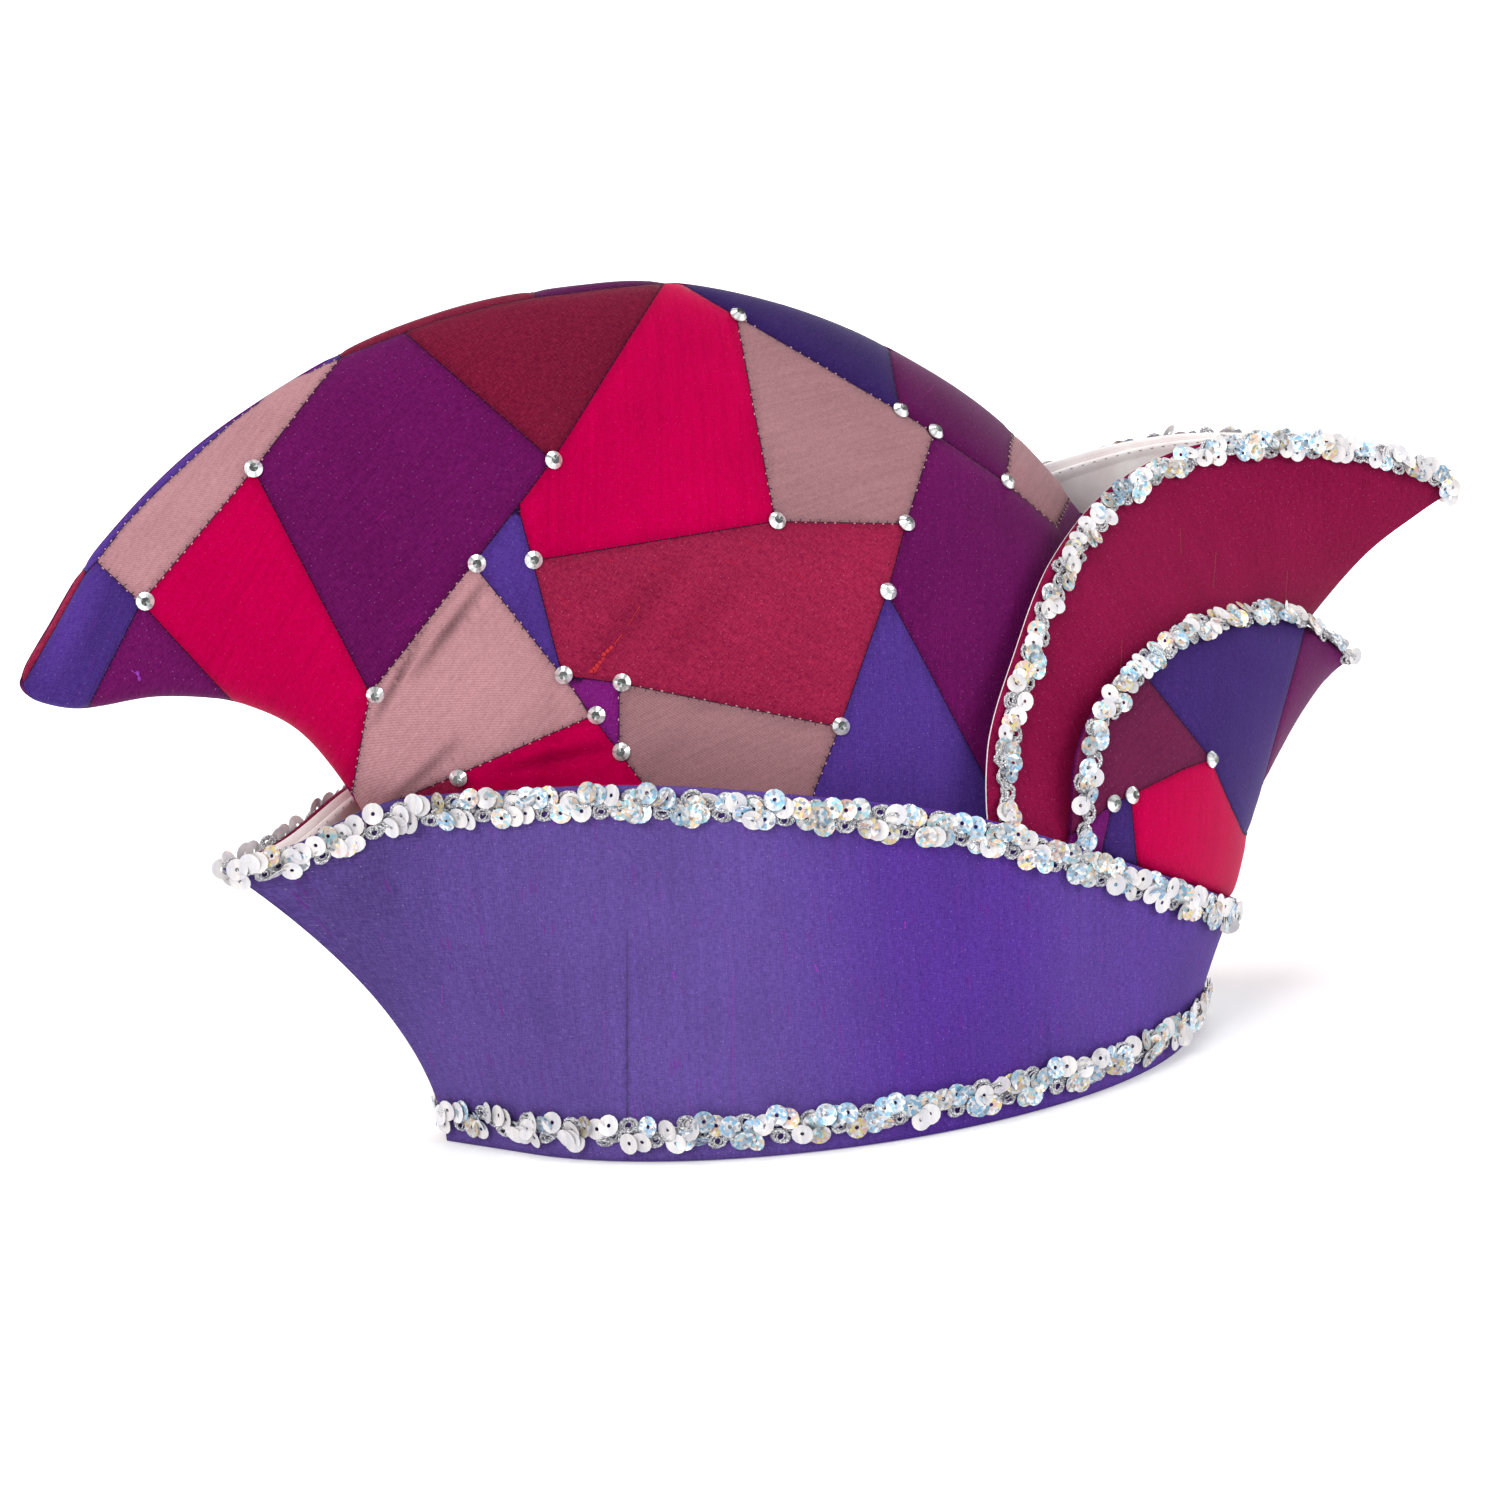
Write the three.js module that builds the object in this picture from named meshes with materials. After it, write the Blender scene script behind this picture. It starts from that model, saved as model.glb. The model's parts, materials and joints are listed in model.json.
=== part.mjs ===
// A carnival cap of stiffened silk: a padded patchwork crest stands in a flared band,
// and a small and a tall pair of fins rise out of the band at the front.
// Lengths are in millimetres. X runs to the front, Y to the wearer's left and Z up.
// The right half is worked out first, with Y below zero, and the left half mirrors it.
import * as THREE from "three";

// Driving sizes
const HEAD_LENGTH = 202;
const HEAD_WIDTH = 158;
const CROWN_WALL = 2.5;
const BAND_WALL = 1.6;
const FIN_WALL = 1.4;
const LINING_WALL = 0.8;
const GAP = 0.3;
// The flat facets of a round wall dip inwards by up to this much
const FACET_DIP = 0.4;
const TRIM_WIDTH = 7.5;
const TRIM_THICKNESS = 1.6;
const EDGE_TRIM_INSET = 1.8;
const RIM_TRIM_INSET = 4;
const STONE_RADIUS = 2.35;
const STONE_HEIGHT = 1.9;
const STONE_SIDES = 8;

// How strongly the side of the crown leans in towards its ridge
const CROWN_LEAN = 0.75;

// Within this angle of the rear the band leaves its rim oval and runs straight to a keel seam
const KEEL_ANGLE = 20;

// The rim ovals follow from the head and the walls
const CROWN_HALF_LENGTH = HEAD_LENGTH / 2 + CROWN_WALL;
const CROWN_HALF_WIDTH = HEAD_WIDTH / 2 + CROWN_WALL;
const BAND_HALF_LENGTH = CROWN_HALF_LENGTH + FACET_DIP + GAP + BAND_WALL;
const BAND_HALF_WIDTH = CROWN_HALF_WIDTH + FACET_DIP + GAP + BAND_WALL;
const SMALL_FIN_DEPTH = BAND_WALL + FACET_DIP + GAP;
const TALL_FIN_DEPTH = SMALL_FIN_DEPTH + FIN_WALL + GAP;

// Band sections from the rear beak to the front. Each runs from the rim oval, at an angle
// from the rear, up to a point of the top edge. A flare above 1 curves the wall outwards.
const BAND_SECTIONS = table(
  ["rimAngle", "topX", "topY", "topZ", "flare"],
  [
    [0, -166, 0, 83, 1.75],
    [12, -148, 5.5, 87, 1.75],
    [28, -126, 15, 96, 1.7],
    [45, -103, 33, 98, 1.65],
    [62, -72, 57, 98, 1.6],
    [80, -34, 77, 92, 1.5],
    [98, 7, 84, 81.5, 1.4],
    [116, 45, 79.5, 65, 1.3],
    [134, 79, 66, 49, 1.2],
    [152, 104, 46, 37, 1.1],
    [168, 119.5, 22, 30.5, 1.05],
    [180, 124.5, 0, 28, 1],
  ],
);

// Crown sections from the rear tip to the front. Each runs from a base point up to the ridge.
// The base lies on the rear seam, a distance behind the rim oval, and then on the rim oval itself.
// The bulge is the padding, and the foot is how sharply it starts from the base.
const CROWN_SECTIONS = table(
  ["ridgeX", "ridgeZ", "rimAngle", "seamBack", "seamZ", "bulge", "foot"],
  [
    [-214, 140, 0, 108, 134, 4, 0.5],
    [-206, 151.5, 0, 95, 130, 8, 0.5],
    [-189, 171.5, 0, 74, 130, 11, 0.5],
    [-160, 192.5, 0, 51, 124, 15, 0.5],
    [-127, 208.5, 0, 33, 109, 20, 0.55],
    [-97, 217.5, 0, 17, 74, 27, 0.65],
    [-66, 221, 0, -1, 0, 34, 0.8],
    [-30, 219.5, 30, 0, 0, 15.5, 1],
    [8, 208.5, 60, 0, 0, 4, 1],
    [42, 190.5, 90, 0, 0, 0, 1],
    [70, 168.5, 118, 0, 0, 0, 1],
    [91, 141, 142, 0, 0, 0, 1],
    [102, 104, 160, 0, 0, 0, 1],
    [105, 60, 172, 0, 0, 0, 1],
    [104.5, 25, 180, 0, 0, 0, 1],
  ],
);

// Fin sections from the foot to the tip. Each runs from the front seam back to the free edge.
// A fullness of 0.5 is a round front and 1 a sharp fold. A section with a hold of 1 lies
// against the inside of the band, at the given height up the band.
const FIN_COLUMNS = ["seamX", "seamZ", "edgeX", "edgeY", "edgeZ", "fullness", "hold", "bandUp"];
const TALL_FIN_SECTIONS = table(FIN_COLUMNS, [
  [112, 12, 19, 79, 40, 0.5, 1, 0.72],
  [121, 28, 15, 79, 78, 0.5, 1, 0.99],
  [123.5, 52, 20, 73, 97, 0.5, 0, 1],
  [136, 73, 34, 63, 116, 0.53, 0, 1],
  [151, 89.5, 57, 46, 138, 0.66, 0, 1],
  [166, 104, 92, 23.5, 153, 0.8, 0, 1],
  [184, 118, 131, 11.5, 158, 0.88, 0, 1],
  [202, 127, 176, 6, 151, 0.92, 0, 1],
  [214, 132, 207, 1.5, 139, 1, 0, 1],
]);
const SMALL_FIN_SECTIONS = table(FIN_COLUMNS, [
  [114, 12, 45, 77, 35, 0.5, 1, 0.72],
  [122, 28, 42, 79, 67, 0.5, 1, 0.99],
  [125.5, 42, 42, 77, 84, 0.5, 0, 1],
  [135, 57, 51, 71, 98, 0.54, 0, 1],
  [148, 69, 71, 59.5, 109, 0.62, 0, 1],
  [161, 79, 104.5, 40.5, 114, 0.72, 0, 1],
  [170, 85, 143, 17, 108.5, 0.84, 0, 1],
  [176, 88, 169, 2, 94, 1, 0, 1],
]);

// Where along the band the rear edge of each fin stands
const TALL_FIN_FOOT = 0.563;
const SMALL_FIN_FOOT = 0.62;

// Steps of the wall grids, as fractions of each panel
const BAND_STEPS = evenSteps(22);
const BAND_RISE = [0, 0.13, 0.3, 0.5, 0.7, 0.87, 1];
const CROWN_STEPS = evenSteps(28);
const CROWN_RISE = [0, 0.15, 0.3, 0.45, 0.6, 0.74, 0.86, 0.95, 1];
const TALL_FIN_ACROSS = [0, 0.15, 0.3, 0.45, 0.57, 0.68, 0.78, 0.87, 0.94, 1];
const TALL_FIN_RISE = [0, 0.06, 0.125, 0.15, ...evenSteps(14, 0.2, 1)];
const SMALL_FIN_ACROSS = [0, 0.17, 0.34, 0.5, 0.63, 0.75, 0.86, 0.93, 1];
const SMALL_FIN_RISE = [0, 0.07, 0.143, 0.17, ...evenSteps(11, 0.23, 1)];

// Stretches of those grids that carry a lining or a trim, as first and last step
const BAND_LINING_STRETCH = { along: [2, 11], up: [2, 6] };
const TALL_FIN_LINING_STRETCH = { along: [3, 9], up: [3, 15] };
const FIN_TRIM_FIRST_STEP = 3;

// Stones lie at the corners of the patches, as fractions along and up each panel
const STONE_COLUMNS = ["along", "up"];
const CROWN_STONES_RIGHT = table(STONE_COLUMNS, [
  [0.235, 0.845], [0.15, 0.61], [0.315, 0.235], [0.375, 0.615], [0.407, 0.68],
  [0.42, 0.81], [0.432, 0.567], [0.46, 0.517], [0.474, 0.553], [0.479, 0.474],
  [0.376, 0.28], [0.548, 0.741], [0.536, 0.972], [0.62, 0.912], [0.64, 0.903],
  [0.685, 0.881], [0.613, 0.767], [0.601, 0.677], [0.58, 0.51],
]);
const CROWN_STONES_LEFT = table(STONE_COLUMNS, [
  [0.17, 0.55], [0.25, 0.3], [0.27, 0.8], [0.345, 0.5], [0.4, 0.75],
  [0.42, 0.4], [0.465, 0.6], [0.5, 0.85], [0.53, 0.5], [0.575, 0.7],
  [0.6, 0.45], [0.63, 0.88], [0.67, 0.7],
]);
const FIN_STONES_RIGHT = table(STONE_COLUMNS, [[0.72, 0.444], [0.89, 0.303], [0.925, 0.275], [0.166, 0.332]]);
const FIN_STONES_LEFT = table(STONE_COLUMNS, [[0.7, 0.45], [0.88, 0.32], [0.45, 0.55]]);

const violetSilk = new THREE.MeshStandardMaterial({ color: "#5c4096", roughness: 0.55, metalness: 0 });
const redSilk = new THREE.MeshStandardMaterial({ color: "#961e41", roughness: 0.55, metalness: 0 });
const patchworkSilk = new THREE.MeshStandardMaterial({ color: "#8a2458", roughness: 0.55, metalness: 0 });
const whiteLining = new THREE.MeshStandardMaterial({ color: "#e4dedd", roughness: 0.8, metalness: 0 });
const sequinTrim = new THREE.MeshStandardMaterial({ color: "#d9dadd", roughness: 0.25, metalness: 0.6 });
const rhinestone = new THREE.MeshStandardMaterial({ color: "#e8ebf0", roughness: 0.08, metalness: 0.8 });

// Name the columns of a table
function table(columns, rows) {
  return rows.map((row) => Object.fromEntries(columns.map((column, index) => [column, row[index]])));
}

function evenSteps(count, from = 0, to = 1) {
  return Array.from({ length: count + 1 }, (_, index) => from + ((to - from) * index) / count);
}

// A smooth curve through four values that stand one step apart
function smoothBetween(before, here, next, after, part) {
  const slopeHere = (next - before) / 2;
  const slopeNext = (after - here) / 2;
  const square = part * part;
  const cube = square * part;
  return (
    here * (2 * cube - 3 * square + 1) +
    slopeHere * (cube - 2 * square + part) +
    next * (3 * square - 2 * cube) +
    slopeNext * (cube - square)
  );
}

// The section at a fraction of the way through a table
function sectionAt(sections, fraction) {
  const last = sections.length - 1;
  const place = THREE.MathUtils.clamp(fraction, 0, 1) * last;
  const index = Math.min(Math.floor(place), last - 1);
  const section = {};
  for (const column of Object.keys(sections[0])) {
    const here = sections[index][column];
    const next = sections[index + 1][column];
    const before = index > 0 ? sections[index - 1][column] : 2 * here - next;
    const after = index + 2 <= last ? sections[index + 2][column] : 2 * next - here;
    section[column] = smoothBetween(before, here, next, after, place - index);
  }
  return section;
}

function bandPoint(along, up) {
  const section = sectionAt(BAND_SECTIONS, along);
  const angle = THREE.MathUtils.degToRad(section.rimAngle);
  const keel = THREE.MathUtils.degToRad(KEEL_ANGLE);
  const onOval = -BAND_HALF_LENGTH * Math.cos(angle);
  const onKeel = BAND_HALF_LENGTH * (Math.sin(angle) * Math.tan(keel) - 1 / Math.cos(keel));
  const rimX = angle < keel ? onKeel : onOval;
  const rimY = BAND_HALF_WIDTH * Math.sin(angle);
  const spread = up ** section.flare;
  const halfWidth = Math.max(THREE.MathUtils.lerp(rimY, section.topY, spread), 0);
  return new THREE.Vector3(THREE.MathUtils.lerp(rimX, section.topX, spread), -halfWidth, section.topZ * up);
}

function crownPoint(along, up) {
  const section = sectionAt(CROWN_SECTIONS, along);
  const angle = THREE.MathUtils.degToRad(THREE.MathUtils.clamp(section.rimAngle, 0, 180));
  const baseX = -CROWN_HALF_LENGTH * Math.cos(angle) - section.seamBack;
  const baseZ = Math.max(section.seamZ, 0);
  const side = CROWN_HALF_WIDTH * Math.sin(angle) * (1 - up ** 2) ** CROWN_LEAN;
  const fullest = section.foot / (section.foot + 0.5);
  const padding = (up / fullest) ** section.foot * ((1 - up) / (1 - fullest)) ** 0.5;
  const halfWidth = side + Math.max(section.bulge, 0) * padding;
  return new THREE.Vector3(
    THREE.MathUtils.lerp(baseX, section.ridgeX, up),
    -halfWidth,
    THREE.MathUtils.lerp(baseZ, section.ridgeZ, up),
  );
}

function finPoint(sections, foot, depth, across, up) {
  const section = sectionAt(sections, up);
  const reach = across ** 2;
  const halfWidth = Math.max(section.edgeY, 0) * (1 - (1 - reach) ** 2) ** section.fullness;
  const free = new THREE.Vector3(
    THREE.MathUtils.lerp(section.seamX, section.edgeX, reach),
    -halfWidth,
    THREE.MathUtils.lerp(section.seamZ, section.edgeZ, reach),
  );
  const along = THREE.MathUtils.lerp(1, foot, across);
  const bandUp = Math.min(section.bandUp, 1);
  const held = bandPoint(along, bandUp).addScaledVector(outwardAt(band, along, bandUp), -depth);
  return free.lerp(held, THREE.MathUtils.clamp(section.hold, 0, 1));
}

// A surface gives a point for two fractions. Its facing is 1 where the outside lies
// on the side of the first direction crossed with the second.
const band = { point: bandPoint, facing: 1 };
const crown = { point: crownPoint, facing: 1 };
const tallFin = {
  point: (across, up) => finPoint(TALL_FIN_SECTIONS, TALL_FIN_FOOT, TALL_FIN_DEPTH, across, up),
  facing: -1,
};
const smallFin = {
  point: (across, up) => finPoint(SMALL_FIN_SECTIONS, SMALL_FIN_FOOT, SMALL_FIN_DEPTH, across, up),
  facing: -1,
};

// The outward direction, from two short steps on the surface
function outwardAt(surface, along, up) {
  const step = 0.002;
  const low = (value) => Math.max(value - step, 0);
  const high = (value) => Math.min(value + step, 1);
  const alongStep = surface.point(high(along), up).sub(surface.point(low(along), up));
  const upStep = surface.point(along, high(up)).sub(surface.point(along, low(up)));
  return alongStep.cross(upStep).normalize().multiplyScalar(surface.facing);
}

// The right half keeps half a gap from the middle of the cap
function keepRight(point) {
  point.y = Math.min(point.y, -GAP / 2);
  return point;
}

function gridOf(surface, alongSteps, upSteps) {
  const points = alongSteps.map((along) => upSteps.map((up) => keepRight(surface.point(along, up))));
  const outward = alongSteps.map((along) => upSteps.map((up) => outwardAt(surface, along, up)));
  return { points, outward };
}

function stretchOf(grid, stretch) {
  const cut = (rows) =>
    rows
      .slice(stretch.along[0], stretch.along[1] + 1)
      .map((row) => row.slice(stretch.up[0], stretch.up[1] + 1));
  return { points: cut(grid.points), outward: cut(grid.outward) };
}

function layerOf(grid, depth, flatBase) {
  return grid.points.map((row, i) =>
    row.map((point, j) => {
      const moved = keepRight(point.clone().addScaledVector(grid.outward[i][j], -depth));
      if (flatBase) moved.z = j === 0 && point.z < GAP ? 0 : Math.max(moved.z, 0);
      return moved;
    }),
  );
}

function geometryFrom(vertices, triangles) {
  const geometry = new THREE.BufferGeometry();
  geometry.setAttribute("position", new THREE.Float32BufferAttribute(vertices.flatMap((v) => v.toArray()), 3));
  geometry.setIndex(signedVolume(vertices, triangles) > 0 ? triangles : turnedOver(triangles));
  geometry.computeVertexNormals();
  return geometry;
}

function signedVolume(vertices, triangles) {
  let volume = 0;
  for (let i = 0; i < triangles.length; i += 3) {
    const [a, b, c] = triangles.slice(i, i + 3).map((index) => vertices[index]);
    volume += a.dot(b.clone().cross(c)) / 6;
  }
  return volume;
}

function turnedOver(triangles) {
  const turned = [];
  for (let i = 0; i < triangles.length; i += 3) turned.push(triangles[i], triangles[i + 2], triangles[i + 1]);
  return turned;
}

function addQuad(triangles, a, b, c, d) {
  triangles.push(a, b, c, a, c, d);
}

// A wall of even thickness between two layers of a grid, closed around its border
function wallGeometry(grid, depth, thickness, flatBase = false) {
  const layers = [layerOf(grid, depth, flatBase), layerOf(grid, depth + thickness, flatBase)];
  const columns = grid.points.length;
  const rows = grid.points[0].length;
  const at = (layer, i, j) => (layer * columns + i) * rows + j;
  const triangles = [];
  for (let i = 0; i + 1 < columns; i += 1) {
    for (let j = 0; j + 1 < rows; j += 1) {
      addQuad(triangles, at(0, i, j), at(0, i + 1, j), at(0, i + 1, j + 1), at(0, i, j + 1));
      addQuad(triangles, at(1, i, j), at(1, i, j + 1), at(1, i + 1, j + 1), at(1, i + 1, j));
    }
  }
  const border = [];
  for (let i = 0; i + 1 < columns; i += 1) border.push([i, 0]);
  for (let j = 0; j + 1 < rows; j += 1) border.push([columns - 1, j]);
  for (let i = columns - 1; i > 0; i -= 1) border.push([i, rows - 1]);
  for (let j = rows - 1; j > 0; j -= 1) border.push([0, j]);
  border.forEach(([i, j], index) => {
    const [nextI, nextJ] = border[(index + 1) % border.length];
    addQuad(triangles, at(0, nextI, nextJ), at(0, i, j), at(1, i, j), at(1, nextI, nextJ));
  });
  return geometryFrom(layers.flat(2), triangles);
}

// A braid with bevelled edges, laid on a wall beside one of its edges.
// A station holds a point of the edge, its neighbour inside the wall and the outward direction.
function trimGeometry(stations, inset, width = TRIM_WIDTH) {
  const shoulder = GAP + TRIM_THICKNESS * 0.55;
  const top = GAP + TRIM_THICKNESS;
  const bevel = TRIM_WIDTH * 0.17;
  const profile = [
    [0, GAP],
    [width, GAP],
    [width, shoulder],
    [width - bevel, top],
    [bevel, top],
    [0, shoulder],
  ];
  const vertices = stations.flatMap((station) => {
    const inwards = station.neighbour.clone().sub(station.edge).normalize();
    const lift = station.outward.clone().addScaledVector(inwards, -station.outward.dot(inwards)).normalize();
    return profile.map(([across, height]) =>
      keepRight(station.edge.clone().addScaledVector(inwards, inset + across).addScaledVector(lift, height)),
    );
  });
  const sides = profile.length;
  const triangles = [];
  for (let i = 0; i + 1 < stations.length; i += 1) {
    for (let k = 0; k < sides; k += 1) {
      const next = (k + 1) % sides;
      addQuad(triangles, i * sides + k, i * sides + next, (i + 1) * sides + next, (i + 1) * sides + k);
    }
  }
  const end = (stations.length - 1) * sides;
  for (let k = 1; k + 1 < sides; k += 1) {
    triangles.push(0, k + 1, k);
    triangles.push(end, end + k, end + k + 1);
  }
  return geometryFrom(vertices, triangles);
}

function alongEdge(grid, edgeRow, neighbourRow) {
  return grid.points.map((row, i) => ({
    edge: row.at(edgeRow),
    neighbour: row.at(neighbourRow),
    outward: grid.outward[i].at(edgeRow),
  }));
}

function alongFreeEdge(grid) {
  const edge = grid.points.at(-1);
  const neighbours = grid.points.at(-2);
  const outward = grid.outward.at(-1);
  return edge.map((point, j) => ({ edge: point, neighbour: neighbours[j], outward: outward[j] }));
}

// A cut stone with a flat back, a short girdle, slanted facets and a table
function stoneGeometry() {
  const ring = (radius, height, turn) =>
    evenSteps(STONE_SIDES - 1, 0, STONE_SIDES - 1).map((side) => {
      const angle = ((side + turn) / STONE_SIDES) * 2 * Math.PI;
      return new THREE.Vector3(radius * Math.cos(angle), radius * Math.sin(angle), height);
    });
  const vertices = [
    ...ring(STONE_RADIUS * 0.94, 0, 0),
    ...ring(STONE_RADIUS, STONE_HEIGHT * 0.3, 0),
    ...ring(STONE_RADIUS * 0.55, STONE_HEIGHT, 0.5),
  ];
  const triangles = [];
  const girdle = STONE_SIDES;
  const stoneTable = 2 * STONE_SIDES;
  for (let side = 0; side < STONE_SIDES; side += 1) {
    const next = (side + 1) % STONE_SIDES;
    addQuad(triangles, side, next, girdle + next, girdle + side);
    triangles.push(girdle + side, girdle + next, stoneTable + side);
    triangles.push(girdle + next, stoneTable + next, stoneTable + side);
  }
  for (let side = 1; side + 1 < STONE_SIDES; side += 1) {
    triangles.push(0, side + 1, side);
    triangles.push(stoneTable, stoneTable + side, stoneTable + side + 1);
  }
  return geometryFrom(vertices, triangles);
}

// A stone seated on the flat facet of a wall under a place of its surface
function seatedStone(surface, wall, place) {
  const point = surface.point(place.along, place.up);
  const outward = outwardAt(surface, place.along, place.up);
  const reach = 10;
  const ray = new THREE.Raycaster(point.clone().addScaledVector(outward, reach), outward.clone().negate());
  const seat = ray.intersectObject(new THREE.Mesh(wall))[0];
  const facing = seat.face.normal;
  const turn = new THREE.Quaternion().setFromUnitVectors(new THREE.Vector3(0, 0, 1), facing);
  const stone = stoneGeometry();
  stone.applyQuaternion(turn);
  const position = seat.point.clone().addScaledVector(facing, GAP);
  return stone.translate(position.x, position.y, position.z);
}

function mirrored(geometry) {
  const copy = geometry.clone();
  copy.scale(1, -1, 1);
  copy.setIndex(turnedOver([...copy.getIndex().array]));
  copy.computeVertexNormals();
  return copy;
}

const cap = new THREE.Group();
cap.name = "carnival_cap";

function add(name, geometry, material) {
  const mesh = new THREE.Mesh(geometry, material);
  mesh.name = name;
  cap.add(mesh);
}

function addPair(name, geometry, rightMaterial, leftMaterial = rightMaterial) {
  add(`${name}_right`, geometry, rightMaterial);
  add(`${name}_left`, mirrored(geometry), leftMaterial);
}

function addStones(name, surface, wall, rightPlaces, leftPlaces) {
  rightPlaces.forEach((place, index) => {
    add(`${name}_right_${index + 1}`, seatedStone(surface, wall, place), rhinestone);
  });
  leftPlaces.forEach((place, index) => {
    add(`${name}_left_${index + 1}`, mirrored(seatedStone(surface, wall, place)), rhinestone);
  });
}

const bandGrid = gridOf(band, BAND_STEPS, BAND_RISE);
const crownGrid = gridOf(crown, CROWN_STEPS, CROWN_RISE);
const tallFinGrid = gridOf(tallFin, TALL_FIN_ACROSS, TALL_FIN_RISE);
const smallFinGrid = gridOf(smallFin, SMALL_FIN_ACROSS, SMALL_FIN_RISE);

const crownWall = wallGeometry(crownGrid, 0, CROWN_WALL, true);
const smallFinWall = wallGeometry(smallFinGrid, 0, FIN_WALL);
const bandLining = stretchOf(bandGrid, BAND_LINING_STRETCH);
const tallFinLining = stretchOf(tallFinGrid, TALL_FIN_LINING_STRETCH);

addPair("crown", crownWall, patchworkSilk);
addPair("band", wallGeometry(bandGrid, 0, BAND_WALL, true), violetSilk, redSilk);
addPair("band_lining", wallGeometry(bandLining, BAND_WALL + GAP, LINING_WALL), whiteLining);
addPair("tall_fin", wallGeometry(tallFinGrid, 0, FIN_WALL), redSilk);
addPair("tall_fin_lining", wallGeometry(tallFinLining, FIN_WALL + GAP, LINING_WALL), whiteLining);
addPair("small_fin", smallFinWall, patchworkSilk);

addPair("band_top_trim", trimGeometry(alongEdge(bandGrid, -1, -2), EDGE_TRIM_INSET), sequinTrim);
addPair("band_rim_trim", trimGeometry(alongEdge(bandGrid, 0, 1), RIM_TRIM_INSET), sequinTrim);
const tallFinEdge = alongFreeEdge(tallFinGrid).slice(FIN_TRIM_FIRST_STEP);
addPair("tall_fin_trim", trimGeometry(tallFinEdge, EDGE_TRIM_INSET), sequinTrim);
const smallFinEdge = alongFreeEdge(smallFinGrid).slice(FIN_TRIM_FIRST_STEP);
addPair("small_fin_trim", trimGeometry(smallFinEdge, EDGE_TRIM_INSET), sequinTrim);

addStones("crown_stone", crown, crownWall, CROWN_STONES_RIGHT, CROWN_STONES_LEFT);
addStones("fin_stone", smallFin, smallFinWall, FIN_STONES_RIGHT, FIN_STONES_LEFT);

export default cap;
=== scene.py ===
# %% [markdown]
# # A carnival cap in patchwork silk
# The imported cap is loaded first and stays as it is: a fixed frame in metres, with +X to the front,
# +Y to the wearer's left and +Z up. Every new piece is laid over that frame, so nothing is fitted by eye.

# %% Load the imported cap
import json
import math
import bmesh
import bpy
import numpy as np
from mathutils import Matrix, Vector, kdtree, noise
from mathutils.bvhtree import BVHTree

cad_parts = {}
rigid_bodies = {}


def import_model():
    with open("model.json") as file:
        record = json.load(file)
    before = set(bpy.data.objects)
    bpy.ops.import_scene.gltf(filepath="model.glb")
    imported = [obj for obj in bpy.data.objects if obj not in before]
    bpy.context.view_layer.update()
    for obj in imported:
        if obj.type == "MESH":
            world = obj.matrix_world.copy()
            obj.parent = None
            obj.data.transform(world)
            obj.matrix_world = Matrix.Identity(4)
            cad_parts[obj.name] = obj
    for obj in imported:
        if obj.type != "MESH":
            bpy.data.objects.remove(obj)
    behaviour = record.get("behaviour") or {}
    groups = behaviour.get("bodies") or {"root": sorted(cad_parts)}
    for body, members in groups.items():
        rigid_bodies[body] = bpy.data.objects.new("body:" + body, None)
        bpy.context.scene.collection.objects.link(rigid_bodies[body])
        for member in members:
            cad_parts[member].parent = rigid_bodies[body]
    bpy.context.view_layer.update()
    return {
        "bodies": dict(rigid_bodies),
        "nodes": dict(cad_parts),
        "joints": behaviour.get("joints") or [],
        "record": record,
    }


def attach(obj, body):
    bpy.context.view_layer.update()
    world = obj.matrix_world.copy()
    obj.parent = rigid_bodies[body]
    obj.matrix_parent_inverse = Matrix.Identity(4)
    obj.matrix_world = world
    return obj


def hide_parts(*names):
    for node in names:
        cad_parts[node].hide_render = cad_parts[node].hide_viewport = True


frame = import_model()
print("CAD nodes:", len(frame["nodes"]))

# %% [markdown]
# ## The camera
# The camera stands to the right of the cap and a little behind its middle, slightly above the rim.
# Its place is worked out from a turn, a rise and a roll, because the same three directions are
# needed again to lay the patchwork out as the picture shows it.

# %% Camera
PICTURE_SIDE = 1500
SENSOR_WIDTH = 36.0
CLIP_START = 0.05
CLIP_END = 50
PIXELS_PER_METRE = 3692
CAMERA_DISTANCE = 1.2
CAMERA_TARGET = np.array((-0.0151, 0.0, 0.0908))
CAMERA_TURN = math.radians(24)
CAMERA_RISE = math.radians(10.58)
CAMERA_ROLL = math.radians(-4.88)

sight_back = np.array((
    -math.sin(CAMERA_TURN) * math.cos(CAMERA_RISE),
    -math.cos(CAMERA_TURN) * math.cos(CAMERA_RISE),
    math.sin(CAMERA_RISE),
))
level_right = np.array((math.cos(CAMERA_TURN), -math.sin(CAMERA_TURN), 0.0))
level_up = np.cross(sight_back, level_right)
sight_right = math.cos(CAMERA_ROLL) * level_right + math.sin(CAMERA_ROLL) * level_up
sight_up = math.cos(CAMERA_ROLL) * level_up - math.sin(CAMERA_ROLL) * level_right
camera_place = CAMERA_TARGET + CAMERA_DISTANCE * sight_back
focal_pixels = PIXELS_PER_METRE * CAMERA_DISTANCE

camera_data = bpy.data.cameras.new("camera")
camera_data.sensor_width = SENSOR_WIDTH
camera_data.lens = focal_pixels / PICTURE_SIDE * SENSOR_WIDTH
camera_data.clip_start = CLIP_START
camera_data.clip_end = CLIP_END
camera = bpy.data.objects.new("camera", camera_data)
axes = np.column_stack((sight_right, sight_up, sight_back))
camera.matrix_world = Matrix.Translation(camera_place) @ Matrix(axes.tolist()).to_4x4()
bpy.context.scene.collection.objects.link(camera)
bpy.context.scene.camera = camera
print("lens in mm:", round(camera_data.lens, 1))

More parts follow.
